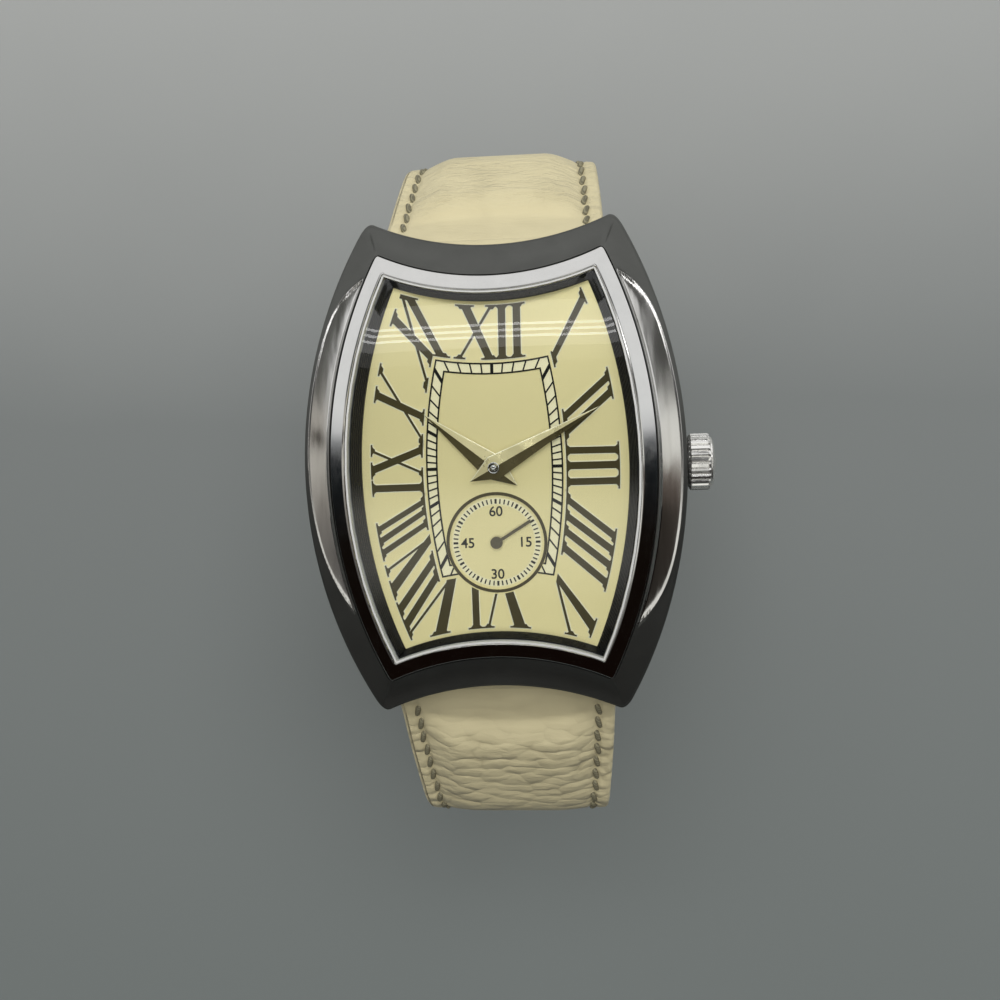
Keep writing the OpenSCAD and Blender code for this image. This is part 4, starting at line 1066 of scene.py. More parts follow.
@dataclass
class DialWorks:
    """Arched dial with its sunk small seconds scale, printed track and inlaid numerals.

    Each seconds figure has its text, and x and y from the small seconds' middle.
    """

    outline: Outline = Outline(13.77, 46.75, 16.53, 26.65)
    visible: Outline = Outline(12.57, 45.55, 15.83, 27.35)
    track: Outline = Outline(6.58, 47.9, 10.0, 28.4)
    arch_r: float = 150.0
    top: float = 6.0
    plate_t: float = 0.38
    sub_y: float = -7.2
    sub_r: float = 4.57
    ring_r: float = 4.87
    sunk: float = 0.12
    figures: tuple[tuple[str, float, float], ...] = (
        ("60", 0.0, 3.02), ("15", 2.83, 0.0), ("30", 0.0, -3.06), ("45", -2.83, 0.0))

    def lay(self, q: Array, lift: float | Array) -> Array:
        """Points q laid on the dial's arched face with a lift."""
        return raised(q, self.top - sag(q[..., 1], self.arch_r) + lift)

    def plate(self) -> Object:
        """Dial plate as one grid from its underside over its rim to the small seconds hole.

        Outside the small seconds, a point is the blend of the dial's outline and the ring's
        circle at the same turn about the ring's centre.

        Returns:
            The piece.
        """
        rim = self.outline.at(np.linspace(0, 4, 288, endpoint=False))
        centre = np.array([0.0, self.sub_y])
        away = rim - centre
        circle = away / np.linalg.norm(away, axis=-1, keepdims=True)
        face, edge = rim * 0.998, centre + (self.sub_r + 0.03) * circle
        hole, low, deep = centre + self.sub_r * circle, -self.plate_t, -self.sunk
        rows = [self.lay(centre + 0.3 * circle, deep + low), self.lay(hole, low),
                self.lay(rim, low), self.lay(rim, -0.05), self.lay(face, 0.0)]
        for share in np.linspace(0.06, 1.0, 26):
            rows.append(self.lay(face * (1 - share) + edge * share, 0.0))
        rows += [self.lay(hole, -0.03), self.lay(centre + (self.sub_r - 0.01) * circle, deep)]
        for share in np.linspace(0.9, 0.0656, 12):
            rows.append(self.lay(centre + self.sub_r * share * circle, deep))
        return build_mesh("dial_face", [Patch.ring(rows)], 30.0)

    def digits(self) -> Object:
        """Seconds figures: plain letters made a mesh, laid round the small dial.

        Returns:
            The piece.
        """
        points, faces, count = [], [], 0
        for text, x, y in self.figures:
            curve = bpy.data.curves.new("figure", "FONT")
            curve.body, curve.size, curve.align_x, curve.align_y = text, 1.34, "CENTER", "CENTER"
            curve.extrude, curve.offset = 0.02, 0.016
            obj = add_object("figure", curve)
            bpy.context.view_layer.update()
            seen = obj.evaluated_get(bpy.context.evaluated_depsgraph_get())
            mesh = bpy.data.meshes.new_from_object(seen)
            flat = np.empty(3 * len(mesh.vertices))
            mesh.vertices.foreach_get("co", flat)
            flat = flat.reshape(-1, 3)
            flat[:, :2] -= (flat[:, :2].max(0) + flat[:, :2].min(0)) / 2
            q = flat[:, :2] + [x, y + self.sub_y]
            points.append(self.lay(q, 0.025 - self.sunk + flat[:, 2]))
            faces += [[v + count for v in polygon.vertices] for polygon in mesh.polygons]
            count += len(flat)
            bpy.data.objects.remove(obj)
            bpy.data.meshes.remove(mesh)
        figures = bpy.data.meshes.new("seconds_figures")
        figures.from_pydata(np.concatenate(points) * MM, [], faces)
        return add_object("seconds_figures", figures)

    def build(self) -> None:
        """Makes and dresses the dial's pieces."""
        cream = DialFinish(self.track, (self.sub_y, self.ring_r + 0.03)).make()
        place(dress(self.plate(), cream), "case", "dial_cream", "dial_plate")
        # The third ink is the numerals' pale rim, a painted edge highlight.
        olive, black, pale = (ink.make() for ink in (
            PlainFinish("olive_ink", (0.050, 0.039, 0.010), 0.42, 9.0, 0.003, specular=0.3),
            PlainFinish("black_ink", (0.006, 0.006, 0.004), 0.5, 9.0, 0.002, specular=0.2),
            PlainFinish("numeral_rim_painted_highlight", (0.86, 0.82, 0.60), 0.35, 9.0, 0.002)))
        dress(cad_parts["subdial_ring"], olive)
        for node in ("minute_track", "subdial_scale"):
            dress(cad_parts[node], black)
        numerals = RomanNumerals(self).mesh()
        place(dress(numerals, olive, pale), "case", "print_olive", "hour_numerals")
        place(dress(self.digits(), black), "case", "print_black")


# For each hour, its strokes as the places where they meet the track's outline and the dial's
# outline, in quarter turns of those outlines, and their widths there.
STROKES = {
    "XII": ((1.012, 1.141, 0.72, 0.8), (1.272, 0.995, 0.23, 0.25), (0.909, 0.94, 0.7, 0.7),
            (0.782, 0.859, 0.71, 0.71)),
    "I": ((0.468, 0.476, 0.53, 0.63),),
    "II": ((0.208, 0.245, 0.63, 0.65), (0.139, 0.204, 0.63, 0.67)),
    "III": ((0.066, 0.041, 0.65, 0.65), (0.0, 0.0, 0.69, 0.7), (-0.07, -0.044, 0.66, 0.65)),
    "IIII": ((-0.142, -0.201, 0.59, 0.67), (-0.213, -0.24, 0.63, 0.67),
             (-0.279, -0.283, 0.63, 0.67), (-0.351, -0.332, 0.65, 0.67)),
    "V": ((-0.5, -0.608, 0.21, 0.27), (-0.49, -0.464, 0.51, 0.91)),
    "VI": ((2.802, 2.871, 0.66, 0.66), (3.022, 2.939, 0.22, 0.22), (3.048, 3.115, 0.82, 1.05)),
    "VII": ((2.6, 2.666, 0.86, 1.05), (2.586, 2.476, 0.21, 0.24), (2.467, 2.45, 0.63, 0.72),
            (2.398, 2.403, 0.61, 0.72)),
    "VIII": ((2.305, 2.342, 0.61, 0.9), (2.304, 2.285, 0.21, 0.24), (2.234, 2.234, 0.48, 0.57),
             (2.18, 2.201, 0.5, 0.57), (2.137, 2.168, 0.51, 0.53)),
    "IX": ((2.016, 1.944, 0.23, 0.25), (1.911, 2.0, 0.67, 0.72), (2.077, 2.05, 0.67, 0.67)),
    "X": ((1.772, 1.787, 0.65, 0.72), (1.874, 1.717, 0.22, 0.25)),
    "XI": ((1.427, 1.452, 0.67, 0.71), (1.513, 1.568, 0.67, 0.74), (1.631, 1.492, 0.23, 0.26))}
# Strokes, counted from 0, that meet in the point of a V and have no foot there.
JOINED = {"V": (0, 1), "VII": (0, 1), "VIII": (0, 1)}


@dataclass
class RomanNumerals:
    """Raised hour numerals from near outside the minute track to far inside the dial's edge.

    A serif is line deep between its stems, and the fillet is added to that at a stem. The pale rim,
    rim wide round each stroke and serif, is a painted edge highlight.
    """

    dial: DialWorks
    near: float = 0.3
    far: tuple[float, float] = (0.62, 0.32)
    rise: float = 0.105
    line: float = 0.15
    fillet: float = 0.26
    reach: float = 0.44
    rim: float = 0.09
    slant: float = 0.4

    def borders(self) -> tuple[Outline, Outline]:
        """The outlines on which the strokes start and stop."""
        return self.dial.track.inset(-self.near), self.dial.visible.inset(*self.far)

    @staticmethod
    def unit(v: Array) -> Array:
        """The vector at length 1."""
        return v / np.linalg.norm(v)

    def lean(self, border: Array, normal: Array) -> float:
        """Cosine between a border and a stroke's normal, kept at slant or more in size."""
        cosine = border @ normal
        return math.copysign(max(abs(cosine), self.slant), cosine)

    def along(self, border: Outline, t: float) -> tuple[Array, Array]:
        """A place on a border and the border's direction there, on its own side of a corner.

        Args:
            border: the outline.
            t: the place in quarter turns.

        Returns:
            The place, and the direction at length 1.
        """
        turn = math.floor(t + 0.5)
        a, b = border.at(np.clip([t - 0.004, t + 0.004], turn - 0.4999, turn + 0.4999))
        return border.at(np.array(t)), self.unit(b - a)

    def ends(self, t0: float, t1: float) -> tuple[tuple[Array, ...], bool]:
        """Both ends of a stroke.

        A stroke that would start inside the small seconds starts at its ring instead, where
        the distance to the ring's centre equals its radius.

        Args:
            t0: where it meets the track's border.
            t1: where it meets the dial's border.

        Returns:
            The ends and the borders' directions there, and whether its foot stands free.
        """
        near, far = self.borders()
        (p, along_p), (q, along_q) = self.along(near, t0), self.along(far, t1)
        centre, radius = np.array([0.0, self.dial.sub_y]), self.dial.ring_r + 0.12
        free = True
        if np.linalg.norm(p - centre) < radius:
            d, f = q - p, p - centre
            k = np.roots([d @ d, 2 * f @ d, f @ f - radius**2]).max()
            p = p + k * d
            out = self.unit(p - centre)
            along_p, free = np.array([-out[1], out[0]]), False
        return (p, q, along_p, along_q), free

    def stroke(self, ends: tuple[Array, ...], widths: tuple[float, float], rise: float,
               slot: int) -> Patch:
        """A raised bar with bevelled edges whose ends run along the borders.

        The point at share u along and distance a across is the blend of both ends, each
        moved along its border by a over the border's lean from the stroke's normal.

        Args:
            ends: both ends and the borders' directions there.
            widths: its widths at both ends.
            rise: its height above the dial.
            slot: index of the material.

        Returns:
            The bar.
        """
        p, q, along_p, along_q = ends
        d = self.unit(q - p)
        normal = np.array([-d[1], d[0]])
        across = np.array([-1.0, -1.0, -0.88, 0.88, 1.0, 1.0])[:, None] / 2
        lift = np.array([-0.03, 0.6, 1.0, 1.0, 0.6, -0.03]) * rise
        first = p + across * widths[0] * along_p / self.lean(along_p, normal)
        last = q + across * widths[1] * along_q / self.lean(along_q, normal)
        u = np.concatenate([[0.0], np.linspace(0.0, 1.0, 14), [1.0]])[:, None, None]
        height = np.broadcast_to(lift, (len(u), len(lift))).copy()
        height[[0, -1]] = lift[0]
        points = self.dial.lay(first * (1 - u) + last * u, height)
        return Patch(points, wrap_cols=True, slot=slot)

    def serif(self, border: Outline, stems: list[tuple[float, float]], inwards: bool, rise: float,
              slot: int) -> Patch:
        """A hairline along a border that swells into each of its stems.

        Its depth is the line plus a fillet times the square of the nearness to the nearest
        stem, so the window between two stems has rounded corners.

        Args:
            border: the outline that it runs along.
            stems: place on the border and half width there in millimetres, in order.
            inwards: whether it grows towards the dial's middle.
            rise: its height above the dial.
            slot: index of the material.

        Returns:
            The serif.
        """
        turn = math.floor(stems[0][0] + 0.5)
        scale = self.pace(border, turn)
        grow = self.rim if slot else 0.0
        low = max(stems[0][0] - (stems[0][1] + self.reach + grow) / scale, turn - 0.4999)
        high = min(stems[-1][0] + (stems[-1][1] + self.reach + grow) / scale, turn + 0.4999)
        t = np.linspace(low, high, max(8, int((high - low) * scale / 0.045)))
        foot = border.at(t)
        ahead = np.gradient(foot, axis=0)
        ahead /= np.linalg.norm(ahead, axis=-1, keepdims=True)
        inner = np.stack([-ahead[:, 1], ahead[:, 0]], -1)
        inner *= np.sign(np.sum(inner * -foot, -1, keepdims=True)) * (1 if inwards else -1)
        gap = np.min([np.abs(t - at) * scale - half for at, half in stems], axis=0)
        deep = self.line + self.fillet * np.clip(1 - gap / 0.30, 0, 1) ** 2
        foot, inner, deep = (np.concatenate([v[:1], v, v[-1:]]) for v in (foot, inner, deep))
        share = np.stack([0 * deep - grow, 0 * deep - grow, deep + grow, deep + grow], -1)
        lift = np.array([-0.03, 1.0, 1.0, -0.03]) * rise
        height = np.broadcast_to(lift, share.shape).copy()
        height[[0, -1]] = lift[0]
        points = self.dial.lay(foot[:, None] + share[..., None] * inner[:, None], height)
        return Patch(points, wrap_cols=True, slot=slot)

    @staticmethod
    def pace(border: Outline, t: float) -> float:
        """Millimetres of a border to a quarter turn, at the middle of t's side or end."""
        near, step = border.at(math.floor(t + 0.5) + np.array([0.0, 0.01])), 0.01
        return float(np.linalg.norm(near[1] - near[0])) / step

    def groups(self, border: Outline,
               stems: list[tuple[float, float]]) -> list[list[tuple[float, float]]]:
        """Stems in order along a border, those of one side less than 1 mm apart in one foot.

        Args:
            border: the outline that they meet.
            stems: place on the border and half width there of each.

        Returns:
            The stems of each foot.
        """
        found: list[list[tuple[float, float]]] = []
        for at, half in sorted(stems):
            before, wide = found[-1][-1] if found else (-9.0, 0.0)
            near = (at - before) * self.pace(border, at) - half - wide < 1.0
            if near and math.floor(at + 0.5) == math.floor(before + 0.5):
                found[-1].append((at, half))
            else:
                found.append([(at, half)])
        return found

    def mesh(self) -> Object:
        """All numerals and their pale rims, a painted edge highlight, as one object, each stroke a
        hair above the last.

        Returns:
            The piece, whose second material is the rims' painted highlight.
        """
        patches = []
        for hour, strokes in STROKES.items():
            feet: tuple[list, list] = ([], [])
            for k, (t0, t1, w0, w1) in enumerate(strokes):
                ends, free = self.ends(t0, t1)
                p, q, along_p, along_q = ends
                d = self.unit(q - p)
                across = np.array([-d[1], d[0]])
                # Slot 1 is the pale rim, a painted edge highlight wider than the stroke.
                for slot, wider, rise in ((0, 0.0, self.rise + 0.0022 * k),
                                          (1, 2 * self.rim, 0.022 + 0.0011 * k)):
                    patches.append(self.stroke(ends, (w0 + wider, w1 + wider), rise, slot))
                if free and k not in JOINED.get(hour, ()):
                    feet[0].append((t0, w0 / 2 / abs(self.lean(along_p, across))))
                feet[1].append((t1, w1 / 2 / abs(self.lean(along_q, across))))
            for border, stems, inwards in zip(self.borders(), feet, (False, True)):
                for group in self.groups(border, stems):
                    patches.append(self.serif(border, group, inwards, self.rise + 0.012, 0))
                    patches.append(self.serif(border, group, inwards, 0.027, 1))
            log.debug("numeral %s has %d strokes", hour, len(strokes))
        return build_mesh("roman_numerals", patches, 25.0)


class Facet(Enum):
    """Painted light on a facet of a hand, lit, in shade or a pale edge highlight, as its material's
    number.
    """

    PAINTED_LIT = 0
    DARK = 1
    PAINTED_EDGE_HIGHLIGHT = 2


@dataclass(frozen=True)
class Hand:
    """A kite-shaped hand with two facets that meet on a ridge, each painted lit or in shade, angled
    clockwise from 12.
    """

    name: str
    angle: float
    length: float
    tail: float
    width: float
    low: float
    thick: float
    left: Facet
    right: Facet

    def mesh(self) -> Object:
        """Kite with a raised middle ridge above a flat underside, and a fine flat rim.

        Along the hand the half width runs straight from nothing at the tip to its greatest
        at the hub and back to nothing at the tail, and the ridge stands over the middle.

        Returns:
            The piece.
        """
        u = np.concatenate([np.linspace(-1, 0, 14), np.linspace(0, 1, 40)[1:]])
        along = np.where(u < 0, u * self.tail, u * self.length)
        share = np.where(u < 0, 1 + u, 1 - u)
        half = share * self.width / 2 + 0.015
        a = math.radians(self.angle)
        patches = []
        for side, facet in ((-1.0, self.left), (1.0, self.right)):
            across = side * np.array([0.0, 1.0, 1.0, 0.93, 0.0])
            lift = np.array([0.0, 0.0, 0.24, 0.30, 1.0])
            x = across[None] * half[:, None]
            x[:, 3] = side * np.maximum(half - 0.07, 0.3 * half)
            z = lift[None] * self.thick * (0.35 + 0.65 * share[:, None] ** 0.6)
            z[:, :2] = 0.0
            y = np.broadcast_to(along[:, None], x.shape)
            turned = np.stack([x * math.cos(a) + y * math.sin(a),
                               -x * math.sin(a) + y * math.cos(a)], -1)
            points = raised(turned, z + self.low)
            # The lit side's underside, wall and rim take the pale painted edge highlight, and the
            # shaded side's take its painted shade.
            rim = Facet.PAINTED_EDGE_HIGHLIGHT if facet is Facet.PAINTED_LIT else facet
            patches += [Patch(points[:, :4], slot=rim.value),
                        Patch(points[:, 3:], slot=facet.value)]
            for end in (points[0], points[-1]):
                patches.append(Patch(np.stack([end[[0, 1, 1]], end[[4, 3, 2]]]), slot=facet.value))
        return build_mesh(self.name, patches, 8.0)


@dataclass
class HandSet:
    """Hour, minute and small seconds hands with their caps."""

    hour: Hand = Hand("hour_hand_kite", angle=308.5, length=8.4, tail=2.8, width=2.5, low=6.4,
                      thick=0.3, left=Facet.DARK, right=Facet.PAINTED_LIT)
    minute: Hand = Hand("minute_hand_kite", angle=61.4, length=11.5, tail=2.6, width=2.3,
                        low=6.78, thick=0.3, left=Facet.PAINTED_LIT, right=Facet.DARK)

    def cap(self) -> Object:
        """Turned cap on the centre: a thin ring, a groove and a polished ball top.

        Rings about the hub's axis at the radii and heights of its profile.

        Returns:
            The piece, whose groove has the second material, a near-black painted shadow.
        """
        a = full_turn(48)
        circle = np.stack([np.cos(a), np.sin(a)], -1)
        profile = [(0.0, 6.97), (0.53, 6.97), (0.56, 7.05), (0.55, 7.11), (0.50, 7.14),
                   (0.44, 7.10), (0.41, 7.02), (0.36, 7.02), (0.34, 7.10), (0.29, 7.17),
                   (0.22, 7.23), (0.12, 7.26), (0.0, 7.27)]
        rows = np.stack([raised(r * circle, z) for r, z in profile])
        patches = [Patch(part, wrap_cols=True, slot=slot)
                   for part, slot in ((rows[:6], 0), (rows[5:9], 1), (rows[8:], 0))]
        return build_mesh("hub_cap", patches, 35.0)

    def build(self) -> None:
        """Makes and dresses the hands."""
        # The hands' two facets are lit and shaded copies of one gilt: painted light and painted
        # shade.
        bright = PolishFinish("gilt_painted_lit", (0.64, 0.57, 0.32), 0.38, 0.5).make()
        # Pale edge along the lit facets: a painted highlight.
        rim = PolishFinish("gilt_painted_edge_highlight", (0.95, 0.90, 0.66), 0.30, 0.4).make()
        dark = PolishFinish("gilt_painted_shade", (0.100, 0.080, 0.030), 0.42, 0.5).make()
        place(dress(self.hour.mesh(), bright, dark, rim), "hours", "hand_gilt", "hour_hand")
        place(dress(self.minute.mesh(), bright, dark, rim), "minutes", "hand_gilt", "minute_hand")
        steel = PolishFinish("cap_steel", (0.80, 0.80, 0.80), 0.08).make()
        # The cap's groove is near-black: painted shade in the recess.
        shadow = PlainFinish("cap_groove_painted_shadow", (0.02, 0.018, 0.01), 0.5, 9.0, 0.002, specular=0.3)
        place(dress(self.cap(), steel, shadow.make()), "minutes", "polished_steel", "hand_cap")
        olive = PlainFinish("seconds_lacquer", (0.075, 0.062, 0.030), 0.30, 9.0, 0.003, coat=0.3)
        dress(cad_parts["seconds_hand"], olive.make())


# Crown


@dataclass
class CrownWorks:
    """Fluted crown with a domed cap: x of its inner face, height of its axis, its flutes."""

    start: float = 18.33
    height: float = 4.2
    flutes: int = 28
    depth: float = 0.15

    def mesh(self) -> Object:
        """Crown as rings about its axis.

        The radius of the fluted part falls by a rounded groove, depth * max(0, cos)^1.6, at
        each flute; the cap is plain. The bore is a blind hole from the case's side.

        Returns:
            The piece.
        """
        turn = full_turn(self.flutes * 12)
        groove = self.depth * np.maximum(0.0, np.cos(turn * self.flutes)) ** 1.6
        foot = [(1.52, 0.0), (1.52, 1.5), (0.0, 1.5), (0.0, 2.30), (0.10, 2.42)]
        fluted = [(0.16, 2.55), (0.28, 2.68), (0.40, 2.70), (1.80, 2.70), (1.95, 2.68),
                  (2.07, 2.60)]
        cap = [(2.12, 2.42), (2.16, 2.36), (2.22, 2.36), (2.28, 2.34), (2.42, 2.15), (2.52, 1.85),
               (2.60, 1.40), (2.66, 0.90), (2.69, 0.45), (2.70, 0.0)]
        rows = []
        for along, radius in foot + fluted + cap:
            r = radius - groove * ((along, radius) in fluted)
            rows.append(np.stack([np.full_like(turn, self.start + along), r * np.cos(turn),
                                  self.height + r * np.sin(turn)], -1))
        return build_mesh("fluted_crown", [Patch(np.stack(rows), wrap_cols=True)], 35.0)

    def build(self) -> None:
        """Makes and dresses the crown."""
        steel = PolishFinish("crown_steel", (0.93, 0.92, 0.89), 0.24, 0.95).make()
        place(dress(self.mesh(), steel), "crown_body", "polished_steel", "crown")


# Strap


@dataclass(frozen=True)
class StrapPath:
    """Middle line of a strap half, a run of arcs that turn towards the wrist.

    Each arc has its length and its turn in degrees. The 6 o'clock half has the side -1.
    """

    arcs: tuple[tuple[float, float], ...]
    side: float
    dip: float
    start: tuple[float, float] = (20.9, 1.5)

    def frame_at(self, s: Array) -> tuple[Array, Array, Array]:
        """Place and heading along the line: each arc adds r (sin h0 - sin h1), r (cos h1 - cos h0).

        Args:
            s: lengths from the spring bar, in millimetres.

        Returns:
            y and z before mirroring, and the heading in radians.
        """
        s = np.asarray(s, float)
        y, z = np.full_like(s, self.start[0]), np.full_like(s, self.start[1])
        h = np.full_like(s, -math.radians(self.dip))
        left = np.maximum(s, 0.0)
        for k, (length, turn) in enumerate(self.arcs):
            r = length / math.radians(turn)
            part = left if k == len(self.arcs) - 1 else np.minimum(left, length)
            h1 = h - part / r
            y, z = y + r * (np.sin(h) - np.sin(h1)), z + r * (np.cos(h1) - np.cos(h))
            h, left = h1, left - part
        return y, z, h

    def point(self, s: Array, x: Array, n: Array) -> Array:
        """Points off the middle line.

        Args:
            s: lengths along it.
            x: places across it.
            n: places outwards from it.

        Returns:
            The points.
        """
        y, z, h = self.frame_at(s)
        y, z = self.side * (y - n * np.sin(h)), z + n * np.cos(h)
        return np.stack(np.broadcast_arrays(x, y, z), -1)


@dataclass
class StrapHalf:
    """One half of the padded leather strap.

    Lengths are from the spring bar along the path, heights are above the path's line, and pad
    holds where the padding starts, is full, starts to fall and ends.
    """

    name: str
    path: StrapPath
    length: float
    pad: tuple[float, float, float, float]
    stitch_end: float
    sewn: bool
    width: float = 22.0
    end_width: float = 18.0
    low: float = -1.3
    mid: float = -0.5
    flat: float = 0.6
    lug: float = 1.1
    crown: float = 1.8
    stitch_in: float = 1.7
    first_stitch: float = 3.4
    pitch: float = 2.0
    thread_r: float = 0.29
    eye: float = 1.4
    end_eye: float = 1.25
    tip_l: float = 9.0
    hole_r: float = 1.0
    holes: int = 7
    hole_pitch: float = 6.0
    first_hole: float = 22.0

    @property
    def tip(self) -> float:
        """Length at which the strap is closed by its rounded tip, if it has one."""
        return math.inf if self.sewn else self.length

    def half_width(self, s: Array) -> Array:
        """Half width: a smooth taper, closed by an ellipse at a rounded tip.

        Args:
            s: lengths from the spring bar.

        Returns:
            The half widths there.
        """
        w = (self.width + (self.end_width - self.width) * smooth(0, 40, s)) / 2
        u = np.clip((s - self.tip + self.tip_l) / self.tip_l, 0, 0.999)
        return w * np.sqrt(1 - u * u)

    def edge_height(self, s: Array) -> Array:
        """Height of the flat margins, thicker over the spring bar."""
        return self.flat + (self.lug - self.flat) * (1 - smooth(0.5, 6, s))

    def face_height(self, s: Array, x: Array) -> Array:
        """Height of the leather's face: margins, padded crown, sewn channels and an arc crease.

        The crown rises inside each seam as a smooth step, and along the strap it starts on an
        arc, 1 - (x / 11)^2. Channel, puckers, crease and fold are bells about their middles,
        and the puckers swing along the seam as a cosine with the stitches' pitch.

        Args:
            s: lengths from the spring bar.
            x: places across.

        Returns:
            The heights above the middle line.
        """
        inside = self.half_width(s) - np.abs(x)
        arc = 1.0 - (np.abs(x) / 11.0) ** 2
        along = smooth(self.pad[0] + 1.2 * arc, self.pad[1] + 1.0 * arc, s)
        along = along * (1 - smooth(self.pad[2], self.pad[3], s))
        rise = (self.crown - self.flat) * along * smooth(1.95, 5.6, inside) ** 0.62
        puckers = 0.07 * hill(inside, 0.95, 0.3) * np.cos(2 * np.pi * (s - 0.3) / self.pitch)
        sewn = smooth(2.6, 3.6, s) * (1 - smooth(self.stitch_end, self.stitch_end + 1.5, s))
        channel = (0.24 * hill(inside, self.stitch_in, 0.38) - puckers) * sewn
        crease = 0.16 * hill(s, 4.0 + 1.9 * arc, 0.42) * smooth(2.1, 3.4, inside)
        fold = 0.07 * hill(s, 5.6 + 2.4 * arc, 0.3) * smooth(2.6, 4.4, inside)
        return self.edge_height(s) + rise - channel - crease - fold

    def lengths(self, start: float, end: float, step: float) -> Array:
        """Stations along the strap, closer together round the tip as a sine.

        Args:
            start: the first.
            end: the last.
            step: their distance before the tip.

        Returns:
            Lengths from the spring bar.
        """
        near = min(end, self.tip - self.tip_l)
        s = np.linspace(start, near, max(3, int((near - start) / step)))
        if end > near:
            s = np.concatenate([s, near + self.tip_l * np.sin(np.linspace(0, np.pi / 2, 26))[1:]])
        return s

    def leather(self) -> Object:
        """Top leather as one closed loop carried along the path, with both ends closed.

        A ring runs over the face from left to right, round an eased edge, down the side and
        back below. At each end it falls onto its own base line, which closes the section.

        Returns:
            The piece, still without holes.
        """
        s = self.lengths(0.85, self.length - (0.75 if self.sewn else 0.0), 0.42)[:, None]
        w = self.half_width(s)
        e = self.edge_height(s)
        share = signed_power(-np.cos(np.linspace(0, np.pi, 96)), 0.93)
        ease = np.minimum(0.48, 0.3 * w)
        inner = w - ease
        x_top = inner * share[None]
        n_top = self.face_height(s, x_top)
        a = np.linspace(0, np.pi / 2, 5)[None, 1:-1]
        x_right = inner + ease * np.sin(a)
        n_right = e - ease + ease * np.cos(a)
        low = np.full_like(w, self.mid + 0.03)
        side = np.maximum(e - ease, low + 0.1)
        x = np.concatenate([x_top, x_right, w, w - 0.05, 0.05 - w, -w, -x_right[:, ::-1]], 1)
        n = np.concatenate([n_top, n_right, side, low, low, side, n_right[:, ::-1]], 1)
        points = self.path.point(s, x, n)
        run = np.concatenate([np.zeros((len(s), 1)),
                              np.cumsum(np.hypot(np.diff(x, axis=1), np.diff(n, axis=1)), 1)], 1)
        own_place = 200.0 * (self.path.side < 0)
        uv = np.stack([run - run[:, 47:48], np.broadcast_to(s, run.shape) + own_place], -1)
        grain = smooth(4.2, 7.0, s - 1.9 * (1 - (np.abs(x) / 11) ** 2)) * 0.86 + 0.14
        base = self.path.point(s, np.clip(x, 0.05 - w, w - 0.05), np.broadcast_to(low, x.shape))
        body = Patch(np.concatenate([base[:1], points, base[-1:]]), wrap_cols=True,
                     uv=np.concatenate([uv[:1], uv, uv[-1:]]),
                     facts={"grain": np.concatenate([grain[:1], grain, grain[-1:]])})
        rolls = [self.eyelet(0.0, 0.8, self.eye)]
        if self.sewn:
            rolls.append(self.eyelet(self.length, 0.65, self.end_eye))
        return build_mesh(self.name + "_leather", [body] + rolls, 42.0)

    def eyelet(self, s: float, bore: float, radius: float) -> Patch:
        """Leather rolled round a bar at length s: a tube with eased rims, closed onto its bore.

        Args:
            s: where the bar crosses the path.
            bore: radius of the hole.
            radius: outer radius of the roll.

        Returns:
            The tube.
        """
        a = full_turn(48)
        y, z, _ = self.path.frame_at(np.array(s))
        wall = tube_wall(float(self.half_width(np.array(s))), bore, radius, 0.25, 0.15)
        rows = [np.stack([np.full_like(a, x), self.path.side * y + r * np.cos(a),
                          z + r * np.sin(a)], -1) for x, r in wall]
        shape = (len(rows), len(a))
        uv = np.stack([np.stack(rows)[..., 0], np.broadcast_to(a * radius + 300.0, shape)], -1)
        return Patch.ring(rows, uv=uv, facts={"grain": np.full(shape, 0.2)})

    def lining(self) -> Object:
        """Thin lining leather with eased edges under the top leather.

        A section runs from left to right below and back above, and both ends are capped.

        Returns:
            The piece, still without holes.
        """
        s = self.lengths(2.4, self.length - (1.4 if self.sewn else 0.0), 0.8)[:, None]
        w = self.half_width(s) - 0.02
        k = np.minimum(0.3, 0.3 * w)
        mid_x = w * np.linspace(-0.96, 0.96, 16)[None]
        x = np.concatenate([-w, -(w - 0.3 * k), mid_x * (1 - k / w), w - 0.3 * k, w, w, -w], 1)
        n = np.concatenate([self.low + k, self.low + 0.3 * k, np.full_like(mid_x, self.low),
                            self.low + 0.3 * k, self.low + k, np.full_like(w, self.mid),
                            np.full_like(w, self.mid)], 1)
        uv = np.stack([x, np.broadcast_to(s, x.shape) + 400.0], -1)
        points = self.path.point(s, x, n)
        body = Patch(points, wrap_cols=True, uv=uv, facts={"grain": np.full(x.shape, 0.6)})
        caps = []
        share = np.linspace(0, 1, 18)[:, None]
        for ring, ring_uv in ((points[0], uv[0]), (points[-1], uv[-1])):
            top = ring[-1] * (1 - share) + ring[-2] * share
            for low, high, own_uv in ((ring[1:19], top, ring_uv[1:19]),
                                      (ring[[1, 0]], ring[[-1, -1]], ring_uv[[1, 0]]),
                                      (ring[[18, 19]], ring[[20, 20]], ring_uv[[18, 19]])):
                caps.append(Patch(np.stack([low, high]), uv=np.stack([own_uv, own_uv])))
        return build_mesh(self.name + "_lining_skin", [body] + caps, 40.0)

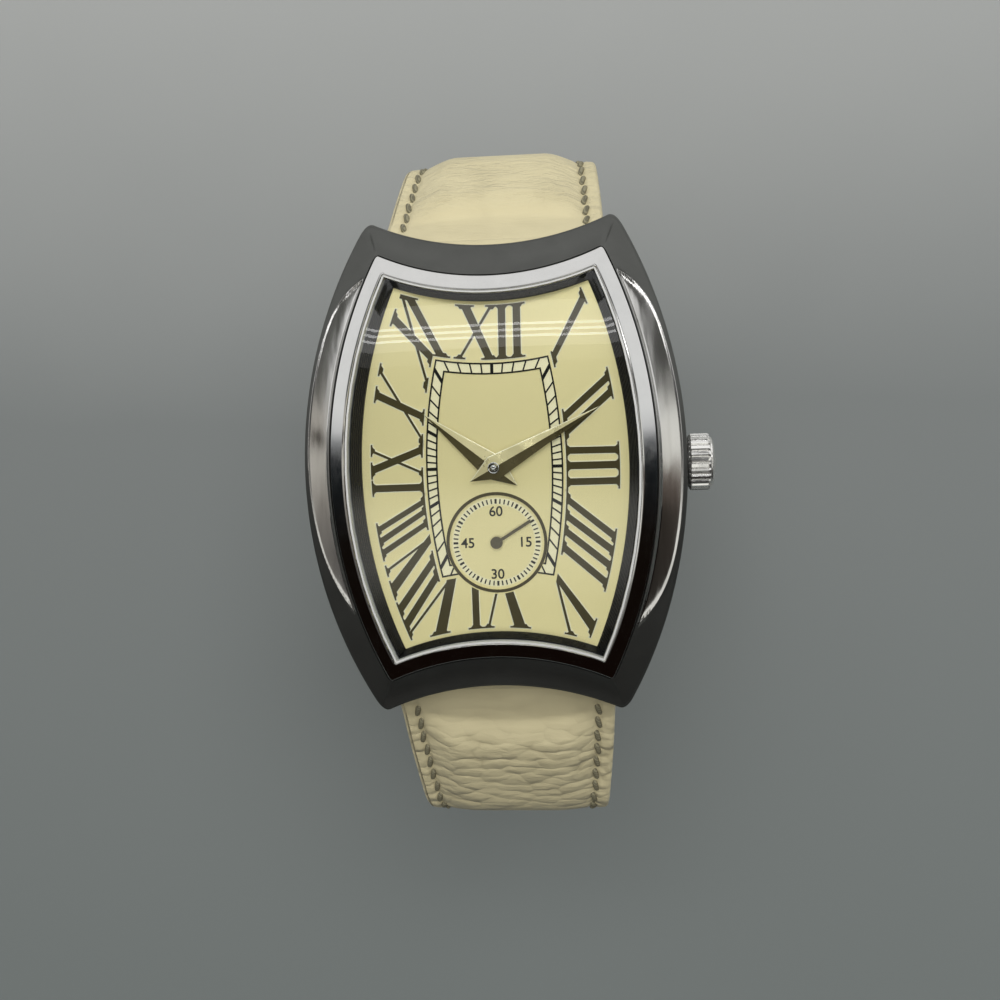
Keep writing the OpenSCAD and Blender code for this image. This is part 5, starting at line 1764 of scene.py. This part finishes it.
    def stitches(self) -> Object:
        """Sewn thread on both margins: a short bowed strand that dives at each end.

        Along a strand, at v from -1 to 1, the drop is 0.22 v^4 and the radius goes with the
        root of 1 - v^6. It slants by 0.42 mm, and each strand is a little out of line.

        Returns:
            The piece.
        """
        count = int((self.stitch_end - self.first_stitch) / self.pitch)
        starts = self.first_stitch + self.pitch * np.arange(count)
        wobble = 0.05 * np.sin(np.arange(count) * 2.4)
        along, turn = np.linspace(0, 1, 9), full_turn(8)
        v = 2 * along - 1
        r = self.thread_r * np.sqrt(np.maximum(1 - v ** 6, 0.02))[:, None]
        patches = []
        for side in (-1.0, 1.0):
            for start, wob in zip(starts, wobble):
                s = start + 0.10 + (self.pitch - 0.30) * along
                mid_x = (side * (self.half_width(s) - self.stitch_in)
                         + (along - 0.5) * 0.42 * side + wob)
                mid_n = self.edge_height(s) - 0.09 - 0.22 * np.abs(v) ** 4
                x = mid_x[:, None] + r * np.cos(turn)
                n = mid_n[:, None] + r * np.sin(turn)
                points = self.path.point(np.broadcast_to(s[:, None], x.shape), x, n)
                middle = points.mean(1, keepdims=True).repeat(len(turn), 1)
                rows = np.concatenate([middle[:1], points, middle[-1:]])
                patches.append(Patch(rows, wrap_cols=True))
        return build_mesh(self.name + "_thread", patches, 60.0)

    def bores(self) -> list[Patch]:
        """Bores for the buckle's tang: a slot at the sewn end, or round holes before the tip.

        Each is a prism through the strap along its normal there, round or a rounded slot.

        Returns:
            The prisms.
        """
        a = full_turn(40)
        round_x, round_v = self.hole_r * np.cos(a), self.hole_r * np.sin(a)
        if self.sewn:
            places = [(self.length - 0.2, 1.2 / self.hole_r, 1.8 * np.sign(np.sin(a)) + 0.2)]
        else:
            places = [(self.tip - self.first_hole - k * self.hole_pitch, 1.0, 0 * a)
                      for k in range(self.holes)]
        patches = []
        for s, wide, shift in places:
            y, z, h = self.path.frame_at(np.array(s))
            rings = []
            for reach, n in ((0.0, -4.0), (1.0, -4.0), (1.0, 4.5), (0.0, 4.5)):
                x, v = reach * wide * round_x, reach * (round_v + shift)
                rings.append(np.stack([x, self.path.side * (y + v * np.cos(h) - n * np.sin(h)),
                                       z + v * np.sin(h) + n * np.cos(h)], -1))
            patches.append(Patch(np.stack(rings), wrap_cols=True))
        return patches

    def build(self, leather: Material, lining: Material, thread: Material) -> None:
        """Makes and dresses the strap half.

        Args:
            leather: material of its face.
            lining: material of its lining.
            thread: material of its seams.
        """
        node = self.name
        skin = cut_away(self.leather(), self.bores(), 42.0)
        place(dress(skin, leather), node, "leather_cream", node + "_top", node + "_padding")
        under = cut_away(self.lining(), self.bores(), 40.0)
        place(dress(under, lining), node, "lining_tan", node + "_lining")
        place(dress(self.stitches(), thread), node, "thread_olive", node + "_stitching")


# Keepers and buckle


@dataclass
class KeeperLoop:
    """Leather loop round both strap ends; half, low and high are its middle line's reach."""

    name: str
    body: str
    node: str
    path: StrapPath
    at: float
    half: float = 9.7
    low: float = -2.0
    high: float = 3.55
    corner: float = 1.3
    wide: float = 4.5
    thick: float = 1.1

    def mesh(self) -> Object:
        """Rounded rectangle round the strap, thickened by a band section with eased rims.

        The loop is a rectangle with quarter circles at its corners, each followed by its
        straight side. The band's section is flat inside and slightly crowned outside, and its
        offset is along the loop's normal.

        Returns:
            The piece.
        """
        a = np.linspace(0, np.pi / 2, 9)
        middle = np.array([self.half, (self.high - self.low) / 2]) - self.corner
        corners, normals = [], []
        for k, (sx, sn) in enumerate(((1, 1), (-1, 1), (-1, -1), (1, -1))):
            turn = a + k * np.pi / 2
            normals.append(np.stack([np.cos(turn), np.sin(turn)], -1))
            corners.append(middle * [sx, sn] + self.corner * normals[-1])
        steps = np.linspace(0, 1, 12, endpoint=False)[:, None]
        loop_parts, out_parts = [], []
        for k, (arc, normal) in enumerate(zip(corners, normals)):
            straight = arc[-1] * (1 - steps) + corners[(k + 1) % 4][0] * steps
            loop_parts += [arc[:-1], straight]
            out_parts += [normal[:-1], np.broadcast_to(normal[-1], straight.shape)]
        loop, out = np.concatenate(loop_parts), np.concatenate(out_parts)
        half, t = self.wide / 2, self.thick / 2
        right = np.array([(half - 0.1, -t), (half, -t + 0.1), (half, t - 0.32),
                          (half - 0.1, t - 0.12), (half - 0.32, t - 0.02), (half - 0.9, t)])
        band = np.concatenate([right, right[::-1] * [-1, 1]])
        x = loop[:, None, 0] + out[:, None, 0] * band[None, :, 1]
        n = (self.high + self.low) / 2 + loop[:, None, 1] + out[:, None, 1] * band[None, :, 1]
        s = np.broadcast_to(self.at + band[None, :, 0], x.shape)
        run = np.concatenate([[0.0], np.cumsum(np.linalg.norm(np.diff(loop, axis=0), axis=-1))])
        uv = np.stack([np.broadcast_to(run[:, None], x.shape), s + 500.0], -1)
        patch = Patch(self.path.point(s, x, n), wrap_rows=True, wrap_cols=True, uv=uv,
                      facts={"grain": np.full(x.shape, 0.55)})
        return build_mesh(self.name, [patch], 40.0)

    def build(self, leather: Material) -> None:
        """Makes and dresses the loop."""
        place(dress(self.mesh(), leather), self.body, "leather_cream", self.node)


@dataclass
class BuckleWorks:
    """Pin buckle: its rounded frame and its tang, both hung on the bar at the strap's end."""

    path: StrapPath
    end: float = 61.5
    inner: float = 9.25
    rail: float = 2.0
    corner: float = 1.5
    length: float = 10.5
    thick: float = 1.8
    eye: float = 1.25
    bore: float = 0.66
    tang_w: float = 1.8
    point: float = 0.8

    def local(self, x: Array, v: Array, n: Array) -> Array:
        """Points given in the buckle's own frame.

        Args:
            x: places across.
            v: places ahead of the bar.
            n: places outwards.

        Returns:
            The points.
        """
        y, z, h = self.path.frame_at(np.array(self.end))
        side = self.path.side
        return np.stack(np.broadcast_arrays(x, side * (y + v * np.cos(h) - n * np.sin(h)),
                                            z + v * np.sin(h) + n * np.cos(h)), -1)

    def frame_mesh(self) -> Object:
        """Frame: a rounded section carried round a U, closed at its rounded ends.

        The U runs up one side, round two quarter circles and down the other side. The
        section is a squared circle, |cos|^0.55 by |sin|^0.55, as wide as the rail. Past the
        bar its thickness falls with the root of 1 - (v / behind)^2.

        Returns:
            The piece.
        """
        half, r, end, behind = self.inner + self.rail / 2, self.corner, self.length, 0.9
        a = np.linspace(0, np.pi / 2, 12)
        side = np.linspace(-behind, end - r, 14)
        left = np.stack([np.full_like(side, -half), side], -1)
        turn = np.stack([-half + r - r * np.cos(a), end - r + r * np.sin(a)], -1)[1:]
        half_u = np.concatenate([left, turn])
        u = np.concatenate([half_u, (half_u * [-1, 1])[::-1]])
        along = np.gradient(u, axis=0)
        along /= np.linalg.norm(along, axis=-1, keepdims=True)
        b = full_turn(28)
        across = signed_power(np.cos(b), 0.55) * self.rail / 2
        thick = signed_power(np.sin(b), 0.55) * self.thick / 2
        past = np.clip(-u[:, 1:] / behind, 0, 0.999)
        points = self.local(u[:, :1] - along[:, 1:] * across, u[:, 1:] + along[:, :1] * across,
                            thick * np.sqrt(np.clip(1 - past ** 2, 0.02, 1)))
        tips = [self.local(np.full_like(b, x), np.full_like(b, v), 0 * b)[None]
                for x, v in (u[0], u[-1])]
        rows = np.concatenate([tips[0], points, tips[1]])
        return build_mesh("pin_buckle_frame", [Patch(rows, wrap_cols=True)], 50.0)

    def tang_mesh(self) -> Object:
        """Tang: a curl round the bar and a tongue that narrows to a rounded tip.

        The curl is a tube. The tongue's section is a squared circle of power 0.6, whose half
        width falls from its root to 0.8 of it and closes on a circle at the tip.

        Returns:
            The piece.
        """
        a, half = full_turn(40), self.tang_w / 2
        tube = [self.local(np.full_like(a, x), r * np.cos(a), r * np.sin(a))
                for x, r in tube_wall(half, self.bore, self.eye, 0.12, 0.12)]
        low, high = self.thick / 2 + 0.05, self.thick / 2 + 0.85
        start = self.length
        end, mid = start + self.point, (low + high) / 2
        v = np.concatenate([np.linspace(0.0, start, 24),
                            start + self.point * np.sin(np.linspace(0, np.pi / 2, 10))[1:]])
        v = v[:, None]
        tip = np.sqrt(1 - np.clip((v - start) / self.point, 0, 0.999) ** 2)
        wide = half * (1 - 0.2 * smooth(0, end, v)) * tip
        b = full_turn(24)
        height = (high - low) / 2 * (0.35 + 0.65 * tip) * signed_power(np.sin(b), 0.6)
        tongue = self.local(wide * signed_power(np.cos(b), 0.6), v + 0 * b, mid + height)
        closed = [self.local(0 * b, 0 * b + v[k], 0 * b + mid)[None] for k in (0, -1)]
        patches = [Patch.ring(tube),
                   Patch(np.concatenate([closed[0], tongue, closed[1]]), wrap_cols=True)]
        return build_mesh("buckle_tongue", patches, 50.0)

    def build(self) -> None:
        """Makes and dresses the buckle's pieces."""
        steel = PolishFinish("buckle_steel", (0.78, 0.77, 0.75), 0.12).make()
        place(dress(self.frame_mesh(), steel), "buckle_body", "polished_steel", "buckle_frame")
        place(dress(self.tang_mesh(), steel), "tang_body", "polished_steel", "tang")


def cut_away(obj: Object, patches: list[Patch], sharp: float) -> Object:
    """Cuts closed grids out of an object and keeps the result in its own mesh.

    Args:
        obj: the object that is cut.
        patches: closed grids, in millimetres.
        sharp: angle in degrees above which an edge is drawn sharp.

    Returns:
        The same object.
    """
    cutter = build_mesh(obj.name + "_cutter", patches)
    step = obj.modifiers.new("cut", "BOOLEAN")
    step.operation, step.solver, step.object = "DIFFERENCE", "EXACT", cutter
    seen = obj.evaluated_get(bpy.context.evaluated_depsgraph_get())
    mesh = bpy.data.meshes.new_from_object(seen)
    obj.modifiers.clear()
    old, obj.data = obj.data, mesh
    mesh.name = obj.name
    mesh.set_sharp_from_angle(angle=math.radians(sharp))
    bpy.data.meshes.remove(old)
    bpy.data.objects.remove(cutter)
    return obj


# Movement and hardware that keep their solids


@dataclass
class Hardware:
    """Pieces whose solids already have their shape, grouped by finish."""

    def build(self) -> None:
        """Dresses every solid that no finer piece stands for."""
        groups = (
            (SteelFinish("satin_case_back", (0.46, 0.46, 0.45), 0.30, brushed=1.0),
             "case_back"),
            (SteelFinish("turned_steel", (0.60, 0.60, 0.59), 0.22),
             "case_back_screws", "bridge_screws", "crown_tube", "spring_bar_12", "spring_bar_6",
             "rotor", "stem", "setting_lever", "cannon_pinion", "buckle_bar", "battery_clamp"),
            (SteelFinish("battery_steel", (0.66, 0.66, 0.64), 0.34), "battery", "quartz_can"),
            (SteelFinish("stator_iron", (0.28, 0.28, 0.27), 0.40), "stator"),
            (PlainFinish("seal_rubber", (0.018, 0.018, 0.018), 0.62, 8.0, 0.006),
             "bezel_gasket", "case_back_gasket", "crown_gasket"),
            (PlainFinish("white_nylon", (0.70, 0.70, 0.68), 0.42, 7.0, 0.004),
             "crystal_gasket", "movement_holder"),
            (PolishFinish("rolled_brass", (0.72, 0.52, 0.22), 0.2),
             "main_plate", "intermediate_wheel", "seconds_wheel", "third_wheel", "centre_wheel",
             "minute_wheel", "hour_wheel"),
            (StripedFinish("striped_nickel", (0.66, 0.65, 0.62)), "train_bridge"),
            (WindingFinish(), "coil"),
            (PlainFinish("green_board", (0.012, 0.085, 0.035), 0.34, 9.0, 0.003, coat=0.5),
             "circuit_board"))
        for finish, *nodes in groups:
            material = finish.make()
            for node in nodes:
                dress(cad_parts[node], material)
            log.info("%-24s on %s", material.name, ", ".join(nodes))


# Light and camera

# Room colours in bands from 6 o'clock to 12: the direction's Y, and red, green and blue there.
ROOM_WALLS = ((-1, .006, .003, .002), (-.3, .006, .004, .003), (-.02, .012, .015, .017),
              (.04, .06, .062, .066), (.08, .25, .26, .27), (.12, .74, .75, .76),
              (.2, .92, .93, .93), (1, .95, .95, .95))
ROOM_CEILING = ((-1, .02, .02, .02), (-.72, .03, .03, .028), (-.46, .25, .25, .235),
                (-.34, 1.0, 1.0, .96), (-.16, .95, .95, .90), (-.06, .10, .10, .095),
                (.10, .06, .06, .06), (.4, .08, .08, .08), (.7, .12, .12, .12), (1, .3, .3, .3))
ROOM_LEFT = ((-1, .05, .05, .047), (-.35, .11, .105, .10), (-.13, .33, .31, .285),
             (-.06, .50, .48, .44), (.0, .62, .60, .55), (.062, .64, .62, .57),
             (.074, .06, .052, .045), (.122, .06, .052, .045), (.134, .62, .59, .54),
             (.20, .56, .54, .50), (.25, .14, .14, .13), (.5, .11, .112, .105))
ROOM_RIGHT = ((-1, .03, .03, .028), (-.22, .045, .038, .032), (-.05, .16, .125, .105),
              (-.036, .18, .15, .125), (-.026, .95, .95, .90), (.17, .92, .92, .88),
              (.25, .20, .20, .19), (.33, .07, .07, .065), (.5, .10, .10, .095))


@dataclass
class Studio:
    """Pale floor, soft light and the photograph's view.

    The camera stands away from the case's crest at plane_z, where scale is the pixels to a
    millimetre, and turn holds its yaw, pitch and roll in degrees.
    """

    away: float = 113.4
    turn: Triple = (5.28, 3.17, 1.694)
    origin_px: tuple[float, float] = (492.2, 468.4)
    frame_px: float = 1000.0
    scale: float = 10.667
    plane_z: float = 8.2
    floor_z: float = -72.0
    wall: Triple = (0.40, 0.41, 0.405)

    def view(self) -> Array:
        """Axes of the view: roll about Z after pitch about X after yaw about Y.

        Returns:
            Rows that point right, up and back.
        """
        (cy, cp, cr), (sy, sp, sr) = np.cos(np.radians(self.turn)), np.sin(np.radians(self.turn))
        about_y = np.array([[cy, 0, -sy], [0, 1, 0], [sy, 0, cy]])
        about_x = np.array([[1, 0, 0], [0, cp, -sp], [0, sp, cp]])
        about_z = np.array([[cr, -sr, 0], [sr, cr, 0], [0, 0, 1]])
        return about_z @ about_x @ about_y

    def camera(self) -> None:
        """Places the camera so that the watch's middle falls where the photograph has it."""
        axes = self.view().T
        x0 = (self.origin_px[0] - self.frame_px / 2) / self.scale
        y0 = -(self.origin_px[1] - self.frame_px / 2) / self.scale
        data = bpy.data.cameras.new("studio_camera")
        data.sensor_width = 36.0
        data.lens = data.sensor_width * self.scale * self.away / self.frame_px
        data.clip_start, data.clip_end = 0.005, 10.0
        obj = add_object("studio_camera", data)
        stand(obj, axes, axes @ np.array([-x0, -y0, self.away]) + np.array([0, 0, self.plane_z]))
        bpy.context.scene.camera = obj

    def floor(self) -> None:
        """Large plain floor under the strap, painted paler towards 12 o'clock as a painted light
        falloff.
        """
        tree = Tree("floor_painted_light_falloff")
        along = tree.add("SeparateXYZ", Vector=tree.coords()).outputs["Y"]
        cloud = tree.noise(tree.coords(), 0.012, 3.0)
        # The colour grows paler along Y towards 12 o'clock, a painted light falloff that stands in
        # for the lamps there; the cloud is random tone.
        share = tree.plus(tree.span(along, -110.0, 130.0), tree.times(cloud, 0.12))
        colour = tree.ramp(share, [(0.0, (0.19, 0.212, 0.207)), (0.55, (0.225, 0.24, 0.237)),
                                   (1.0, (0.46, 0.47, 0.46))])
        side = np.linspace(-900, 900, 3)
        patch = Patch(raised(np.stack(np.meshgrid(side, side), -1), self.floor_z))
        floor = build_mesh("studio_floor", [patch], turn_out=False)
        dress(floor, tree.finish(Base_Color=colour, Roughness=0.85))

    def lamp(self, name: str, place_mm: Triple, size: tuple[float, float],
             power: float, mirrored: bool = True) -> None:
        """Adds a soft box that faces the watch.

        Args:
            name: the lamp's name.
            place_mm: where it stands.
            size: its width and height in millimetres.
            power: its power in watts.
            mirrored: whether polished surfaces show it.
        """
        data = bpy.data.lights.new(name, "AREA")
        data.shape, data.size, data.size_y = "RECTANGLE", size[0] * MM, size[1] * MM
        data.energy = power
        obj = add_object(name, data)
        obj.visible_glossy = mirrored
        back = np.array(place_mm) / np.linalg.norm(place_mm)
        right = np.cross([0.0, 1.0, 0.001], back)
        right /= np.linalg.norm(right)
        stand(obj, np.stack([right, np.cross(back, right), back], 1), np.array(place_mm))

    def world(self) -> None:
        """Room light: bright towards 12 o'clock, dark towards 6, with a soft box on each side.

        Each colour is a ramp over the direction's Y. The side boxes stand where the polished
        flanks mirror the room, and the camera itself sees a plain pale wall.
        """
        world = bpy.data.worlds.new("soft_room")
        bpy.context.scene.world = world
        room = RoomTree(world)
        parts = room.add("SeparateXYZ", Vector=room.add("TexCoord").outputs["Generated"]).outputs
        level = room.plus(room.times(parts["Y"], 0.5), 0.5)
        walls, ceiling, left, right = (
            room.ramp(level, [((y + 1) / 2, colour) for y, *colour in bands])
            for bands in (ROOM_WALLS, ROOM_CEILING, ROOM_LEFT, ROOM_RIGHT))
        x, z = parts["X"], parts["Z"]
        colour = room.mix(room.span(z, 0.66, 0.76), walls, ceiling)
        left_side = room.times(room.span(z, 0.42, 0.50), room.span(x, -0.50, -0.36, 1.0, 0.0))
        right_side = room.times(room.span(z, 0.56, 0.62), room.span(x, 0.34, 0.46))
        colour = room.mix(right_side, room.mix(left_side, colour, left), right)
        seen = room.add("LightPath").outputs["Is Camera Ray"]
        room.links.new(room.mix(seen, colour, rgba(*self.wall)), room.nodes["Background"].inputs[0])

    def build(self) -> None:
        """Sets up floor, light and camera."""
        self.floor()
        self.world()
        self.lamp("key_strip", (0, 262, 525), (520, 92), 0.17)
        self.lamp("key_halo", (0, 268, 530), (560, 160), 0.11)
        for k in range(3):
            self.lamp(f"tube_{k}", (0, 238 + 11 * k, 531 - 5 * k), (560, 5), 0.045)
        self.lamp("ceiling_fill", (70, 170, 600), (420, 420), 2.5, mirrored=False)
        bpy.context.scene.view_settings.view_transform = "Standard"
        self.camera()


def main() -> None:
    """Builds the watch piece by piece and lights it."""
    logging.basicConfig(level=logging.INFO, format="%(name)s: %(message)s")
    upper = StrapPath(((14.2, 2.0), (5.0, 40.0), (36.861, 88.0), (60.0, 8.0)), side=1.0, dip=48.0)
    lower = StrapPath(((17.5, 4.0), (6.5, 54.0), (35.055, 44.0), (39.963, 26.0), (60.0, 5.0)),
                      side=-1.0, dip=32.0)
    # groove is the darker tone of the painted crease shade and of the leather's random patches.
    tone, groove = (0.635, 0.565, 0.350), (0.42, 0.365, 0.215)
    creased = LeatherFinish("creased_cream_leather", tone, groove, 0.16, 0.9, 0.20).make()
    pebbled = LeatherFinish("pebbled_cream_leather", tone, groove, 0.9, 0.16, 0.36).make()
    lining = LeatherFinish("tan_lining", (0.48, 0.33, 0.18), (0.33, 0.21, 0.11), 0.4, 0.6,
                           0.05).make()
    thread = ThreadFinish().make()
    CaseWorks().build()
    DialWorks().build()
    HandSet().build()
    CrownWorks().build()
    StrapHalf("strap_12", upper, length=61.5, pad=(3.5, 8.0, 14.0, 36.0), stitch_end=46.0,
              sewn=True).build(creased, lining, thread)
    StrapHalf("strap_6", lower, length=102.0, pad=(3.5, 8.0, 10.0, 28.0), stitch_end=91.0,
              sewn=False).build(pebbled, lining, thread)
    KeeperLoop("fixed_loop", "strap_12", "fixed_keeper", upper, 52.0).build(creased)
    KeeperLoop("free_loop", "keeper_body", "free_keeper", upper, 42.0, low=-2.15).build(creased)
    BuckleWorks(upper).build()
    Hardware().build()
    Studio().build()


if __name__ == "__main__":
    main()
